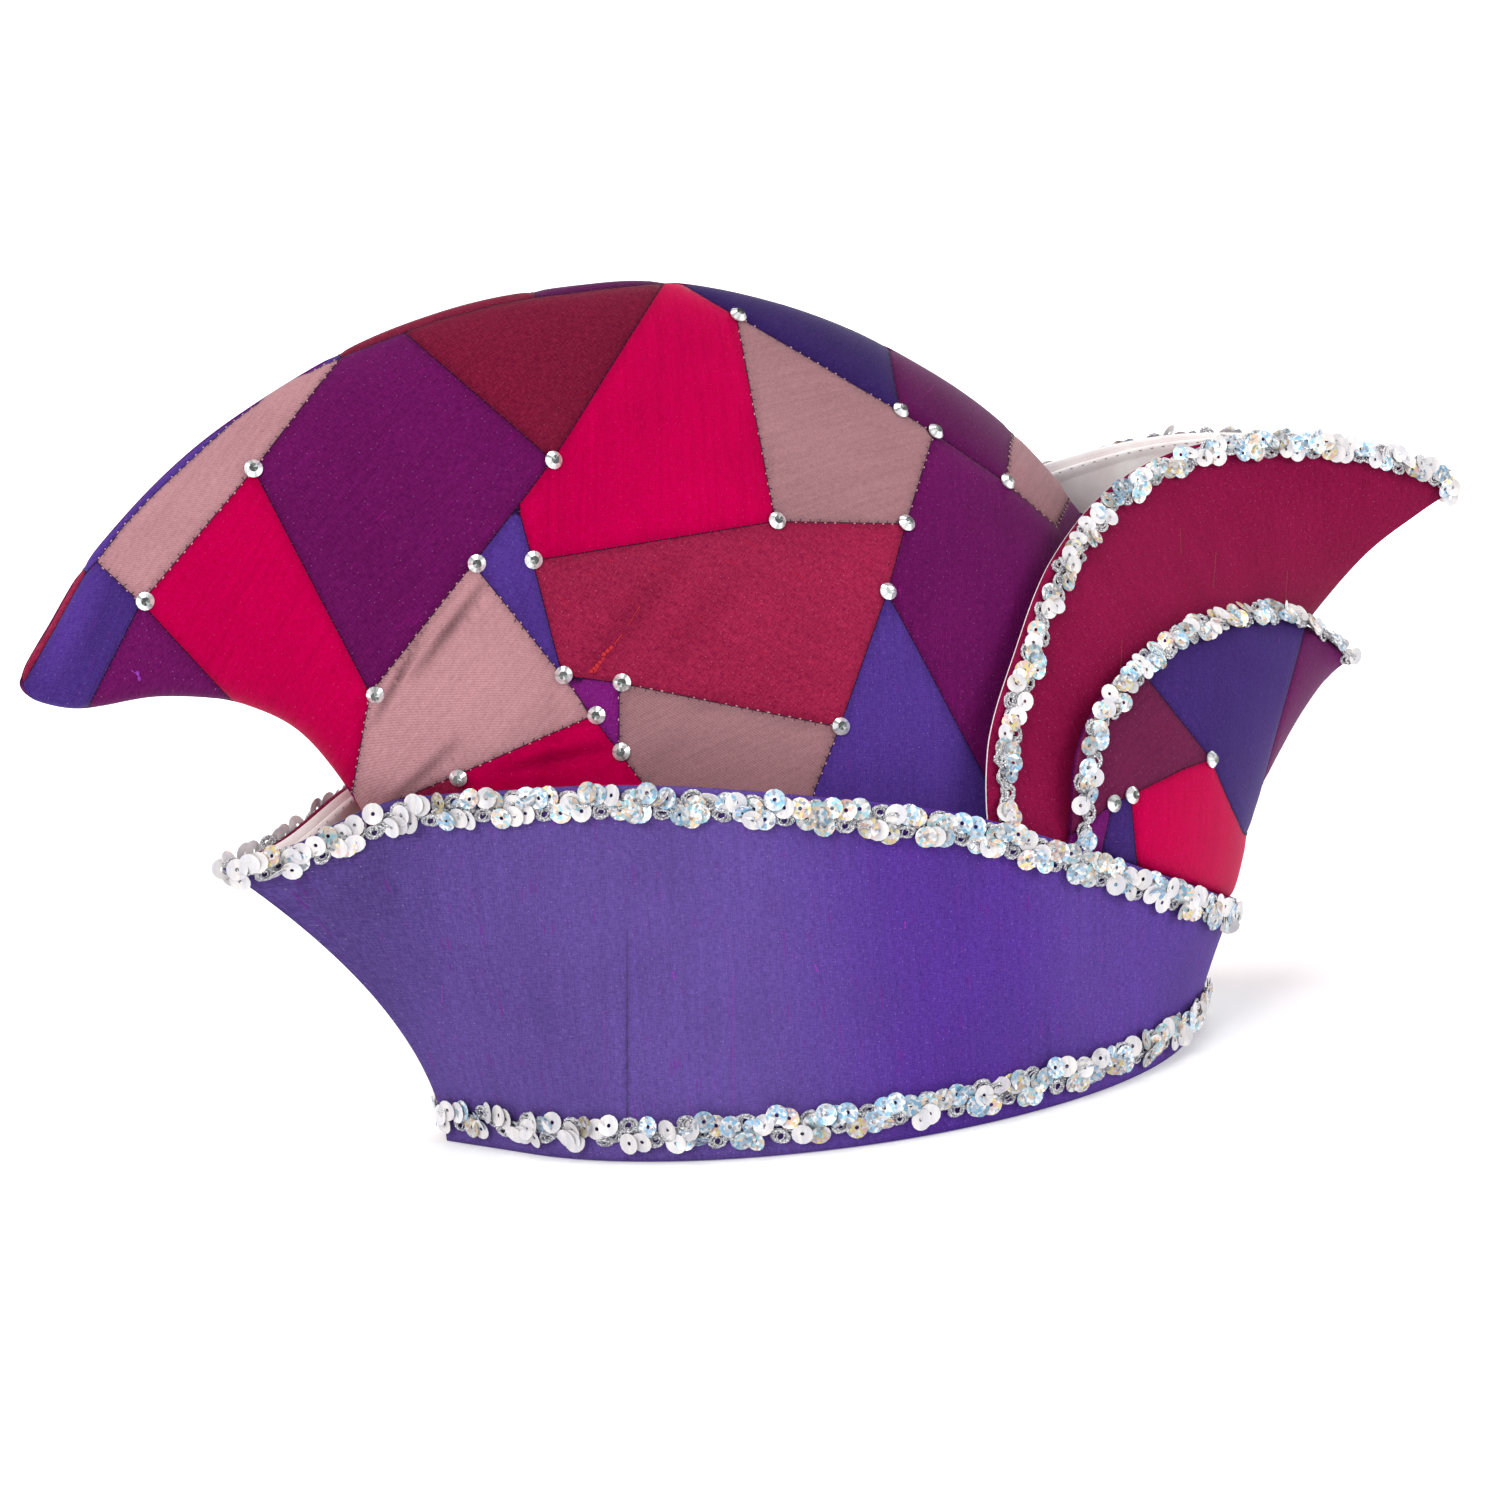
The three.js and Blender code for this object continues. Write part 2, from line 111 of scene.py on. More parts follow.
# %% [markdown]
# ## The studio
# A round sweep, a floor whose edge curves up into a wall, has no horizon from any side.
# It is one profile turned a full circle by the spin operator. Large soft lamps stand around it,
# and the Standard view keeps the strong silk colours, which a film-like view would wash out.

# %% Floor sweep
FLOOR_RADIUS = 2.6
FLOOR_BEND = 1.0
FLOOR_WALL = 2.2
FLOOR_LEVEL = -0.0003
FLOOR_SIDES = 64
BEND_POINTS = 13


def link_object(name, data):
    made = bpy.data.objects.new(name, data)
    bpy.context.scene.collection.objects.link(made)
    return made


def object_from(name, bm, materials, smooth=True):
    """Turns a bmesh into an object at the origin, with its materials in slot order."""
    mesh = bpy.data.meshes.new(name)
    bm.to_mesh(mesh)
    bm.free()
    for material in materials:
        mesh.materials.append(material)
    if smooth:
        mesh.shade_smooth()
    return link_object(name, mesh)


sweep = bmesh.new()
bend_angles = np.linspace(0, math.pi / 2, BEND_POINTS)
profile = [(0.0, 0.0)]
profile += [(FLOOR_RADIUS + FLOOR_BEND * math.sin(a), FLOOR_BEND * (1 - math.cos(a))) for a in bend_angles]
profile += [(FLOOR_RADIUS + FLOOR_BEND, FLOOR_BEND + FLOOR_WALL)]
corners = [sweep.verts.new((radius, 0, FLOOR_LEVEL + height)) for radius, height in profile]
lines = [sweep.edges.new(pair) for pair in zip(corners, corners[1:])]
bmesh.ops.spin(sweep, geom=corners + lines, cent=(0, 0, 0), axis=(0, 0, 1), angle=2 * math.pi,
               steps=FLOOR_SIDES, use_merge=True)
bmesh.ops.remove_doubles(sweep, verts=sweep.verts, dist=1e-5)
bmesh.ops.recalc_face_normals(sweep, faces=sweep.faces)
bmesh.ops.reverse_faces(sweep, faces=sweep.faces)
floor = object_from("floor_sweep", sweep, [])

# %% Lamps and sky
LAMPS = {
    # name: place, side of the square, power in watts
    "lamp_left": ((-1.35, -1.0, 1.2), 0.9, 20),
    "lamp_right": ((1.25, -1.3, 0.9), 0.9, 14),
    "lamp_top": ((-0.1, 0.1, 1.7), 1.2, 16),
    "lamp_back_left": ((-1.1, 1.1, 0.9), 0.9, 8),
    "lamp_back_right": ((1.2, 1.0, 0.9), 0.9, 6),
}
LAMP_AIM = Vector((-0.01, 0, 0.1))
SKY_STRENGTH = 0.12
for lamp_name, (place, side, power) in LAMPS.items():
    lamp_data = bpy.data.lights.new(lamp_name, "AREA")
    lamp_data.size = side
    lamp_data.energy = power
    lamp = link_object(lamp_name, lamp_data)
    lamp.location = place
    lamp.rotation_euler = (LAMP_AIM - Vector(place)).to_track_quat("-Z", "Y").to_euler()

world = bpy.data.worlds.new("studio_sky")
world.use_nodes = True
world.node_tree.nodes["Background"].inputs["Color"].default_value = (1, 1, 1, 1)
world.node_tree.nodes["Background"].inputs["Strength"].default_value = SKY_STRENGTH
bpy.context.scene.world = world
bpy.context.scene.view_settings.view_transform = "Standard"
print("lamps:", len(LAMPS))

# %% [markdown]
# ## Shader sums in Python
# A silk finish is a sum of many small patterns. One small class wraps a node's output and
# overloads the operators, so a pattern reads as a formula. Its node method adds any other node,
# with the settings first, because a setting can change which sockets a node has.

# %% A socket that takes part in sums
class Socket:
    """An output of a node tree that can stand in a Python expression."""

    def __init__(self, tree, output=None):
        self.tree = tree
        self.output = output

    def node(self, kind, settings=None, sockets=None, output=0):
        made = self.tree.nodes.new(kind)
        for name, value in (settings or {}).items():
            setattr(made, name, value)
        for name, value in (sockets or {}).items():
            if isinstance(value, Socket):
                self.tree.links.new(value.output, made.inputs[name])
            else:
                made.inputs[name].default_value = value
        return Socket(self.tree, made.outputs[output])

    def maths(self, operation, first, second=0.0):
        return self.node("ShaderNodeMath", {"operation": operation}, {0: first, 1: second})

    def __add__(self, other):
        return self.maths("ADD", self, other)

    __radd__ = __add__

    def __sub__(self, other):
        return self.maths("SUBTRACT", self, other)

    def __rsub__(self, other):
        return self.maths("SUBTRACT", other, self)

    def __mul__(self, other):
        return self.maths("MULTIPLY", self, other)

    __rmul__ = __mul__

    def __gt__(self, other):
        return self.maths("GREATER_THAN", self, other)

    def sine(self):
        return self.maths("SINE", self)

    def rise(self, low, high):
        """From 0 to 1 on a smooth step between two values."""
        sockets = {0: self, 1: low, 2: high, 3: 0.0, 4: 1.0}
        return self.node("ShaderNodeMapRange", {"interpolation_type": "SMOOTHSTEP"}, sockets)

    def mix(self, first, second):
        """Between two colours, with this socket as the share of the second."""
        settings = {"data_type": "RGBA", "blend_type": "MIX"}
        return self.node("ShaderNodeMix", settings, {0: self, 6: first, 7: second}, output=2)

    def stretched(self, across, along):
        """A vector with its first two parts scaled."""
        sockets = {0: self, 1: (across, along, 1.0)}
        return self.node("ShaderNodeVectorMath", {"operation": "MULTIPLY"}, sockets)

    def grain(self, detail=2.0, dimensions="2D", roughness=0.55):
        sockets = {"Vector": self, "Scale": 1.0, "Detail": detail, "Roughness": roughness}
        return self.node("ShaderNodeTexNoise", {"noise_dimensions": dimensions}, sockets)

    def part(self, index):
        return self.node("ShaderNodeSeparateXYZ", {}, {0: self}, output=index)

    def place(self):
        """The place on the object, in metres."""
        return self.node("ShaderNodeTexCoord", output=3)

    def weave(self):
        """The weave map of a cloth, in millimetres."""
        return self.node("ShaderNodeUVMap", {"uv_map": "weave"})

    def stored(self, name):
        """A number that the model stores for its finish."""
        return self.node("ShaderNodeAttribute", {"attribute_name": name}, output=2)

    def bump(self, strength, distance):
        """This socket as a height, turned into a normal."""
        return self.node("ShaderNodeBump", {}, {"Strength": strength, "Distance": distance, "Height": self})

    def into(self, shader, name):
        self.tree.links.new(self.output, shader.inputs[name])


# %% Colours and new finishes
DYE_SHARE = 0.64
BLACK = (0.0, 0.0, 0.0, 1.0)


def colour(red, green, blue):
    """A colour as a picture program shows it, from 0 to 255, turned into the linear values of a shader."""
    shares = [value / 255 for value in (red, green, blue)]
    linear = [s / 12.92 if s <= 0.04045 else ((s + 0.055) / 1.055) ** 2.4 for s in shares]
    return (*linear, 1.0)


def scaled(tone, share, extra=0.0):
    """A lighter or darker form of a linear colour."""
    return tuple(min(1.0, share * part + extra) for part in tone[:3]) + (1.0,)


def dye(red, green, blue):
    """A silk colour as the lit cloth shows it. The cloth itself is darker, because the studio is bright."""
    return scaled(colour(red, green, blue), DYE_SHARE)


def new_finish(name):
    """A material with its shader and a socket to start sums from."""
    material = bpy.data.materials.new(name)
    material.use_nodes = True
    shader = material.node_tree.nodes["Principled BSDF"]
    return material, shader, Socket(material.node_tree)


def fix(shader, values):
    """Sets the sockets of a shader that are the same all over."""
    for name, value in values.items():
        shader.inputs[name].default_value = value


# %% [markdown]
# ## Floor paint and glow
# The sweep is plain white and glows faintly all over, a painted light that lightens the cap's shadow on it
# and lights the cap a little from below. Behind the cap it glows brightly, as a backdrop does that has lamps
# of its own, so the picture's background is white. The side behind the camera stays dim, because silk,
# sequins and stones only look alive when they have something dark to mirror beside the lamps.

# %% Floor finish
FLOOR_TONE = (0.86, 0.86, 0.86, 1)
FLOOR_ROUGHNESS = 0.9
FLOOR_SPECULAR = 0.1
# A faint glow all over the floor, a painted light, and a bright one behind the cap
GLOW_NEAR = (0.22, 0.22, 0.22, 1)
GLOW_FAR = (0.85, 0.85, 0.85, 1)
GLOW_START = 0.35
GLOW_END = 1.2
GLOW_EDGE = 0.72
GLOW_FULL = 0.96
floor_paint_and_glow, floor_shader, floor_start = new_finish("floor_paint_and_glow")
floor_place = floor_start.place()
from_cap = floor_start.node("ShaderNodeVectorMath", {"operation": "LENGTH"}, {0: floor_place}, output=1)
direction = floor_start.node("ShaderNodeVectorMath", {"operation": "NORMALIZE"}, {0: floor_place})
backdrop_side = (math.sin(CAMERA_TURN), math.cos(CAMERA_TURN), 0.0)
both_ways = {0: direction, 1: backdrop_side}
behind_cap = floor_start.node("ShaderNodeVectorMath", {"operation": "DOT_PRODUCT"}, both_ways, output=1)
glow = from_cap.rise(GLOW_START, GLOW_END) * behind_cap.rise(GLOW_EDGE, GLOW_FULL)
glow.mix(GLOW_NEAR, GLOW_FAR).into(floor_shader, "Emission Color")
floor_paint_and_glow.cycles.emission_sampling = "NONE"
fix(floor_shader, {"Emission Strength": 1.0, "Base Color": FLOOR_TONE, "Roughness": FLOOR_ROUGHNESS,
                   "Specular IOR Level": FLOOR_SPECULAR})
floor.data.materials.append(floor_paint_and_glow)

# %% [markdown]
# ## Shot silk
# The cloth is a slubby silk. Its warp and weft differ in colour, so fine streaks cross each other,
# a thick thread runs through here and there, and specks of lint catch the light.
# The patterns lie on a map called weave, in millimetres, so that each patch has its own grain.
# Four numbers come from the model: seam is the distance to the next seam, where the cloth turns down
# into a painted shade; tone is how light a patch is, partly its own lightness and partly painted light and
# shade; the stored shading is painted shade in creases and beside seams, and a painted sheen where it is
# below nothing; and shot is the share of a second colour.

# %% Silk patterns
# How often a pattern repeats in a millimetre of the weave map, across and along
WEFT_SCALE = (0.5, 3.3)
WARP_SCALE = (3.3, 0.5)
FUZZ_SCALE = (2.8, 2.8)
CLOUD_SCALE = (0.035, 0.035)
STREAK_SCALE = (0.035, 0.8)
SLUB_SCALE = (0.06, 1.7)
SLUB_BREAK_SCALE = (0.17, 0.17)
LINT_SCALE = 0.45
RIB_SCALE = 9.5
RIB_SLANT = 0.6
RIB_WANDER = 4
# The share of each pattern in the threads, and the two levels between which the threads change colour
THREAD_SHARE = 0.36
FUZZ_SHARE = 0.28
THREAD_LEVELS = (0.36, 0.64)
SLUB_RISE = 0.1
SLUB_BREAK_LEVELS = (0.5, 0.65)
LINT_SIZES = (0.025, 0.06)
LINT_LEVELS = (0.35, 1.0)


def slub_pattern(weave, level):
    """Long thin lines that break off after a while. A high level leaves few of them."""
    lines = weave.stretched(*SLUB_SCALE).grain(1.0).rise(level, level + SLUB_RISE)
    return lines * weave.stretched(*SLUB_BREAK_SCALE).grain(1.0).rise(*SLUB_BREAK_LEVELS)


def lint_pattern(start, weave):
    """A dot in every cell of a pattern, some of them bright and some hardly there."""
    settings = {"voronoi_dimensions": "2D"}
    cells = {"Vector": weave, "Scale": LINT_SCALE}
    from_dot = start.node("ShaderNodeTexVoronoi", settings, cells)
    pick = start.node("ShaderNodeTexVoronoi", settings, cells, output=1).part(0)
    return (1 - from_dot.rise(*LINT_SIZES)) * pick.rise(*LINT_LEVELS)


def twill_ribs(weave, fuzz):
    """Slanting ribs that wander a little."""
    slanted = weave.part(0) + RIB_SLANT * weave.part(1)
    return (slanted * RIB_SCALE + RIB_WANDER * fuzz).sine() * 0.5 + 0.5


# %% Silk finish
SEAM_SHADE = colour(26, 8, 30)
LINT = colour(205, 175, 210)
SLUB_SHOW = 0.6
TWILL_SLUB_SHOW = 0.2
SEAM_LEVELS = (0.12, 0.38)
SEAM_DARKNESS = 0.92
SEAM_ROUND = (0.0, 1.1)
SILK_SPECULAR = 0.045
SILK_SHEEN = 0.015


def silk_finish(name, warp, weft, slub, gloss, second=None, twill=0.0, slub_level=0.7, lint_level=0.33):
    """A silk of two thread colours. second holds two more for the places that are shot."""
    material, shader, start = new_finish(name)
    weave = start.weave()
    weft_threads = weave.stretched(*WEFT_SCALE).grain()
    warp_threads = weave.stretched(*WARP_SCALE).grain()
    fuzz = weave.stretched(*FUZZ_SCALE).grain()
    clouds = weave.stretched(*CLOUD_SCALE).grain(3.0)
    streaks = weave.stretched(*STREAK_SCALE).grain(3.0)
    slubs = slub_pattern(weave, slub_level)
    threads = THREAD_SHARE * weft_threads + THREAD_SHARE * warp_threads + FUZZ_SHARE * fuzz
    threads = threads.rise(*THREAD_LEVELS)
    if twill:
        threads = threads * (1 - twill) + twill_ribs(weave, fuzz) * twill
    ground = threads.mix(warp, weft)
    if second:
        ground = (start.stored("shot") * (0.75 + 0.5 * clouds)).mix(ground, threads.mix(*second))
    slubbed = (slubs * (TWILL_SLUB_SHOW if twill else SLUB_SHOW)).mix(ground, slub)
    linted = (lint_pattern(start, weave) * lint_level).mix(slubbed, LINT)
    # Painted light and shade: tone and the stored shading darken patches, creases and seams as shade and
    # lighten sheens as a painted highlight
    lightness = start.stored("tone") * (1 - start.stored("painted_shading")) * (0.62 + 0.26 * streaks + 0.24 * clouds)
    toned = lightness.mix(BLACK, linted)
    seam = start.stored("seam")
    # Painted shade where the cloth turns down into a seam
    beside_seam = 1 - (seam + 0.2 * fuzz).rise(*SEAM_LEVELS)
    (beside_seam * SEAM_DARKNESS).mix(toned, SEAM_SHADE).into(shader, "Base Color")
    (0.44 + 0.24 * fuzz).into(shader, "Roughness")
    height = 0.06 * weft_threads + 0.06 * warp_threads + 0.1 * slubs + 0.3 * seam.rise(*SEAM_ROUND)
    height.bump(0.7, 0.001).into(shader, "Normal")
    fix(shader, {"Specular IOR Level": SILK_SPECULAR, "Specular Tint": gloss, "Sheen Weight": SILK_SHEEN,
                 "Sheen Roughness": 0.4, "Sheen Tint": gloss})
    return material


SILK_COLOURS = {
    # name: warp, weft, slub, gloss
    "indigo": ((78, 48, 138), (96, 66, 158), (130, 40, 150), (170, 140, 255)),
    "plum": ((98, 14, 84), (124, 28, 106), (170, 20, 140), (255, 130, 240)),
    "raspberry": ((202, 0, 70), (222, 0, 90), (232, 10, 90), (255, 30, 140)),
    "crimson": ((146, 24, 68), (192, 50, 90), (205, 10, 40), (255, 120, 140)),
    "mauve": ((186, 128, 136), (224, 170, 176), (230, 190, 190), (255, 225, 225)),
    "magenta": ((126, 24, 124), (150, 42, 140), (180, 40, 160), (255, 150, 255)),
    "wine": ((116, 34, 80), (138, 46, 92), (165, 20, 60), (255, 140, 170)),
    "violet": ((100, 78, 158), (128, 102, 188), (150, 44, 176), (185, 165, 255)),
    "red": ((140, 14, 66), (168, 28, 84), (120, 6, 40), (255, 120, 150)),
}
SILK_EXTRAS = {
    "raspberry": {"lint_level": 0.12},
    "mauve": {"twill": 0.5},
    "violet": {"second": (dye(90, 52, 160), dye(116, 76, 190)), "slub_level": 0.65, "lint_level": 0.6},
}
SILK = {}
for silk_name, (warp, weft, slub, gloss) in SILK_COLOURS.items():
    extras = SILK_EXTRAS.get(silk_name, {})
    SILK[silk_name] = silk_finish(
        f"{silk_name}_silk", dye(*warp), dye(*weft), dye(*slub), colour(*gloss), **extras)
print("silk finishes:", ", ".join(SILK))

# %% [markdown]
# ## White lining
# The inside is a plain white cotton, a little grey and pink from the silk behind it.
# Its fine square weave is two crossed sets of ribs.

# %% Lining finish
COTTON_RIBS = 12.0
COTTON_CLOUDS = (0.06, 0.06)
COTTON_FIBRES = (2.2, 2.2)


def lining_finish(name, light, dark):
    material, shader, start = new_finish(name)
    weave = start.weave()
    ribs = (weave.part(0) * COTTON_RIBS).sine() * (weave.part(1) * COTTON_RIBS).sine()
    clouds = weave.stretched(*COTTON_CLOUDS).grain(3.0)
    fibres = weave.stretched(*COTTON_FIBRES).grain(3.0)
    (clouds * 0.7 + fibres * 0.3).rise(0.3, 0.75).mix(dark, light).into(shader, "Base Color")
    (0.72 + 0.15 * fibres).into(shader, "Roughness")
    (0.04 * ribs + 0.06 * fibres).bump(0.5, 0.001).into(shader, "Normal")
    fix(shader, {"Specular IOR Level": 0.2, "Sheen Weight": 0.15})
    return material


LINING = lining_finish("white_lining", colour(252, 248, 246), colour(238, 228, 227))
print("lining finish made")

# %% [markdown]
# ## The four cloth surfaces
# The cap has four kinds of panel on each side: a crown, a band, a tall fin and a small fin. Each is a
# surface over two fractions, along and up, given by sections with a smooth curve through their columns.
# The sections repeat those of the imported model, in millimetres, so the silk lies where its solids are.

# %% Sizes and sections
MM = 0.001
HEAD_LENGTH = 202
HEAD_WIDTH = 158
CROWN_WALL = 2.5
BAND_WALL = 1.6
FIN_WALL = 1.4
GAP = 0.3
FACET_DIP = 0.4
CROWN_LEAN = 0.75
KEEL_ANGLE = math.radians(20)
CROWN_HALF_LENGTH = HEAD_LENGTH / 2 + CROWN_WALL
CROWN_HALF_WIDTH = HEAD_WIDTH / 2 + CROWN_WALL
BAND_HALF_LENGTH = CROWN_HALF_LENGTH + FACET_DIP + GAP + BAND_WALL
BAND_HALF_WIDTH = CROWN_HALF_WIDTH + FACET_DIP + GAP + BAND_WALL
SMALL_FIN_DEPTH = BAND_WALL + FACET_DIP + GAP
TALL_FIN_DEPTH = SMALL_FIN_DEPTH + FIN_WALL + GAP

# Columns: rim angle, top x, top y, top z, flare
BAND_SECTIONS = np.array((
    (0, -166, 0, 83, 1.75), (12, -148, 5.5, 87, 1.75), (28, -126, 15, 96, 1.7), (45, -103, 33, 98, 1.65),
    (62, -72, 57, 98, 1.6), (80, -34, 77, 92, 1.5), (98, 7, 84, 81.5, 1.4), (116, 45, 79.5, 65, 1.3),
    (134, 79, 66, 49, 1.2), (152, 104, 46, 37, 1.1), (168, 119.5, 22, 30.5, 1.05), (180, 124.5, 0, 28, 1),
))
# Columns: ridge x, ridge z, rim angle, seam back, seam z, bulge, foot. The bulge at the tail's end is
# less than the wall here, so that the end is sewn shut.
CROWN_SECTIONS = np.array((
    (-214, 140, 0, 108, 134, 2.2, 0.5), (-205, 151.2, 0, 95, 130, 7, 0.5),
    (-188.3, 171.1, 0, 74, 130, 10, 0.5), (-160, 192.5, 0, 51, 124, 15, 0.5),
    (-127, 208.5, 0, 33, 109, 20, 0.55), (-97, 217.5, 0, 17, 74, 27, 0.65),
    (-66, 221, 0, -1, 0, 34, 0.8), (-30, 219.5, 30, 0, 0, 15.5, 1), (8, 208.5, 60, 0, 0, 4, 1),
    (42, 190.5, 90, 0, 0, 0, 1), (70, 168.5, 118, 0, 0, 0, 1), (91, 141, 142, 0, 0, 0, 1),
    (102, 104, 160, 0, 0, 0, 1), (105, 60, 172, 0, 0, 0, 1), (104.5, 25, 180, 0, 0, 0, 1),
))
# Columns: seam x, seam z, edge x, edge y, edge z, fullness, hold, band up
TALL_FIN_SECTIONS = np.array((
    (112, 12, 19, 79, 40, 0.5, 1, 0.72), (121, 28, 15, 79, 78, 0.5, 1, 0.99),
    (123.5, 52, 20, 73, 97, 0.5, 0, 1), (136, 73, 34, 63, 116, 0.53, 0, 1),
    (151, 89.5, 57, 46, 138, 0.66, 0, 1), (166, 104, 92, 23.5, 153, 0.8, 0, 1),
    (184, 118, 131, 11.5, 158, 0.88, 0, 1), (202, 127, 176, 6, 151, 0.92, 0, 1),
    (214, 132, 207, 1.5, 139, 1, 0, 1),
))
SMALL_FIN_SECTIONS = np.array((
    (114, 12, 45, 77, 35, 0.5, 1, 0.72), (122, 28, 42, 79, 67, 0.5, 1, 0.99),
    (125.5, 42, 42, 77, 84, 0.5, 0, 1), (135, 57, 51, 71, 98, 0.54, 0, 1),
    (148, 69, 71, 59.5, 109, 0.62, 0, 1), (161, 79, 104.5, 40.5, 114, 0.72, 0, 1),
    (170, 85, 143, 17, 108.5, 0.84, 0, 1), (176, 88, 169, 2, 94, 1, 0, 1),
))
# The corners at the end of the tail are drawn in by this much, over this share of the crown
TAIL_ROUND = 1.2
TAIL_ROUND_RUN = 0.03
TALL_FIN_FOOT = 0.563
SMALL_FIN_FOOT = 0.62
SURFACE_STEP = 0.002
CREST_ALONG = 0.43


# %% Surfaces over two fractions
def sections_at(sections, fractions):
    """Every column of a table of sections, on a smooth curve through its rows."""
    last = len(sections) - 1
    place = np.clip(fractions, 0, 1) * last
    index = np.minimum(place.astype(int), last - 1)
    part = (place - index)[..., None]
    here = sections[index]
    following = sections[index + 1]
    has_before = (index > 0)[..., None]
    has_after = (index + 2 <= last)[..., None]
    before = np.where(has_before, sections[np.maximum(index - 1, 0)], 2 * here - following)
    after = np.where(has_after, sections[np.minimum(index + 2, last)], 2 * following - here)
    slope_here = (following - before) / 2
    slope_next = (after - here) / 2
    square = part ** 2
    cube = part ** 3
    blended = here * (2 * cube - 3 * square + 1) + slope_here * (cube - 2 * square + part)
    blended += following * (3 * square - 2 * cube) + slope_next * (cube - square)
    return np.moveaxis(blended, -1, 0)


def between(first, second, share):
    return first + (second - first) * share


def band_point(along, up):
    rim_angle, top_x, top_y, top_z, flare = sections_at(BAND_SECTIONS, along)
    angle = np.radians(rim_angle)
    on_oval = -BAND_HALF_LENGTH * np.cos(angle)
    on_keel = BAND_HALF_LENGTH * (np.sin(angle) * math.tan(KEEL_ANGLE) - 1 / math.cos(KEEL_ANGLE))
    rim_x = np.where(angle < KEEL_ANGLE, on_keel, on_oval)
    spread = up ** flare
    x = between(rim_x, top_x, spread)
    half_width = np.maximum(between(BAND_HALF_WIDTH * np.sin(angle), top_y, spread), 0)
    return np.stack((x, -half_width, top_z * up), -1)


def crown_point(along, up):
    ridge_x, ridge_z, rim_angle, seam_back, seam_z, bulge, foot = sections_at(CROWN_SECTIONS, along)
    angle = np.radians(np.clip(rim_angle, 0, 180))
    side = CROWN_HALF_WIDTH * np.sin(angle) * (1 - up ** 2) ** CROWN_LEAN
    fullest = foot / (foot + 0.5)
    padding = (up / fullest) ** foot * ((1 - up) / (1 - fullest)) ** 0.5
    x = between(-CROWN_HALF_LENGTH * np.cos(angle) - seam_back, ridge_x, up)
    x = x + TAIL_ROUND * (2 * up - 1) ** 2 * np.clip(1 - along / TAIL_ROUND_RUN, 0, 1) ** 2
    z = between(np.maximum(seam_z, 0), ridge_z, up)
    return np.stack((x, -(side + np.maximum(bulge, 0) * padding), z), -1)


def outward_of(point_at, facing, along, up):
    """The outward direction of a surface, from two short steps on it."""
    step = SURFACE_STEP
    further = point_at(np.minimum(along + step, 1), up) - point_at(np.maximum(along - step, 0), up)
    higher = point_at(along, np.minimum(up + step, 1)) - point_at(along, np.maximum(up - step, 0))
    direction = facing * np.cross(further, higher)
    return direction / np.maximum(np.linalg.norm(direction, axis=-1, keepdims=True), 1e-9)


def fin_point(sections, foot, depth, across, up):
    seam_x, seam_z, edge_x, edge_y, edge_z, fullness, hold, band_up = sections_at(sections, up)
    reach = across ** 2
    half_width = np.maximum(edge_y, 0) * (1 - (1 - reach) ** 2) ** fullness
    free = np.stack((between(seam_x, edge_x, reach), -half_width, between(seam_z, edge_z, reach)), -1)
    along = between(1, foot, across)
    height = np.clip(band_up, 0, 1)
    held = band_point(along, height) - depth * outward_of(band_point, 1, along, height)
    return between(free, held, np.clip(hold, 0, 1)[..., None])


def tall_fin_point(across, up):
    return fin_point(TALL_FIN_SECTIONS, TALL_FIN_FOOT, TALL_FIN_DEPTH, across, up)


def small_fin_point(across, up):
    return fin_point(SMALL_FIN_SECTIONS, SMALL_FIN_FOOT, SMALL_FIN_DEPTH, across, up)


# Each surface with its facing: 1 where along crossed with up points outwards
SURFACES = {
    "crown": (crown_point, 1),
    "band": (band_point, 1),
    "tall_fin": (tall_fin_point, -1),
    "small_fin": (small_fin_point, -1),
}
crest = crown_point(np.array(CREST_ALONG), np.array(1.0))
print("crest height in mm:", round(float(crest[2]), 1))

# %% [markdown]
# ## A sheet on a surface
# A flat grid from create_grid is the cloth on the cutting table. Each of its vertices is moved to the
# surface point of its two fractions. The left half is the mirrored right half, so its faces are turned over.

# %% Cloth grid
RIGHT = 1
LEFT = -1


def on_side(points, side):
    """Points of the right half in metres, kept clear of the middle, or mirrored for the left half."""
    placed = points * MM
    placed[..., 1] = np.minimum(placed[..., 1], -GAP / 2 * MM) * side
    return placed


def even(fractions):
    return fractions


def eased(fractions):
    """Fractions that crowd towards both ends, where the crown's padding curves most."""
    return (1 - np.cos(np.pi * fractions)) / 2


def cloth_grid(surface, side, counts, along=(0, 1), up=(0, 1), spread=even, depth=0.0):
    """A bmesh sheet on a surface, or at a depth under it, with outward faces."""
    point_at, facing = SURFACES[surface]
    bm = bmesh.new()
    bmesh.ops.create_grid(bm, x_segments=counts[0], y_segments=counts[1], size=0.5)
    flat = np.array([vertex.co for vertex in bm.verts]) + 0.5
    along_share = between(along[0], along[1], np.clip(flat[:, 0], 0, 1))
    up_share = between(up[0], up[1], spread(np.clip(flat[:, 1], 0, 1)))
    points = point_at(along_share, up_share)
    if depth:
        points = points - depth * outward_of(point_at, facing, along_share, up_share)
    for vertex, place in zip(bm.verts, on_side(points, side)):
        vertex.co = place
    if facing * side < 0:
        bmesh.ops.reverse_faces(bm, faces=bm.faces)
    bm.normal_update()
    return bm, along_share, up_share


def places_of(bm):
    return np.array([vertex.co for vertex in bm.verts])


def spots_on(surface, side, along, up, depth=0.0):
    """Places and outward normals at fractions of a panel, or at a depth in millimetres under it."""
    point_at, facing = SURFACES[surface]
    normals = outward_of(point_at, facing, along, up)
    points = on_side(point_at(along, up) - depth * normals, side)
    normals[:, 1] *= side
    return points, normals


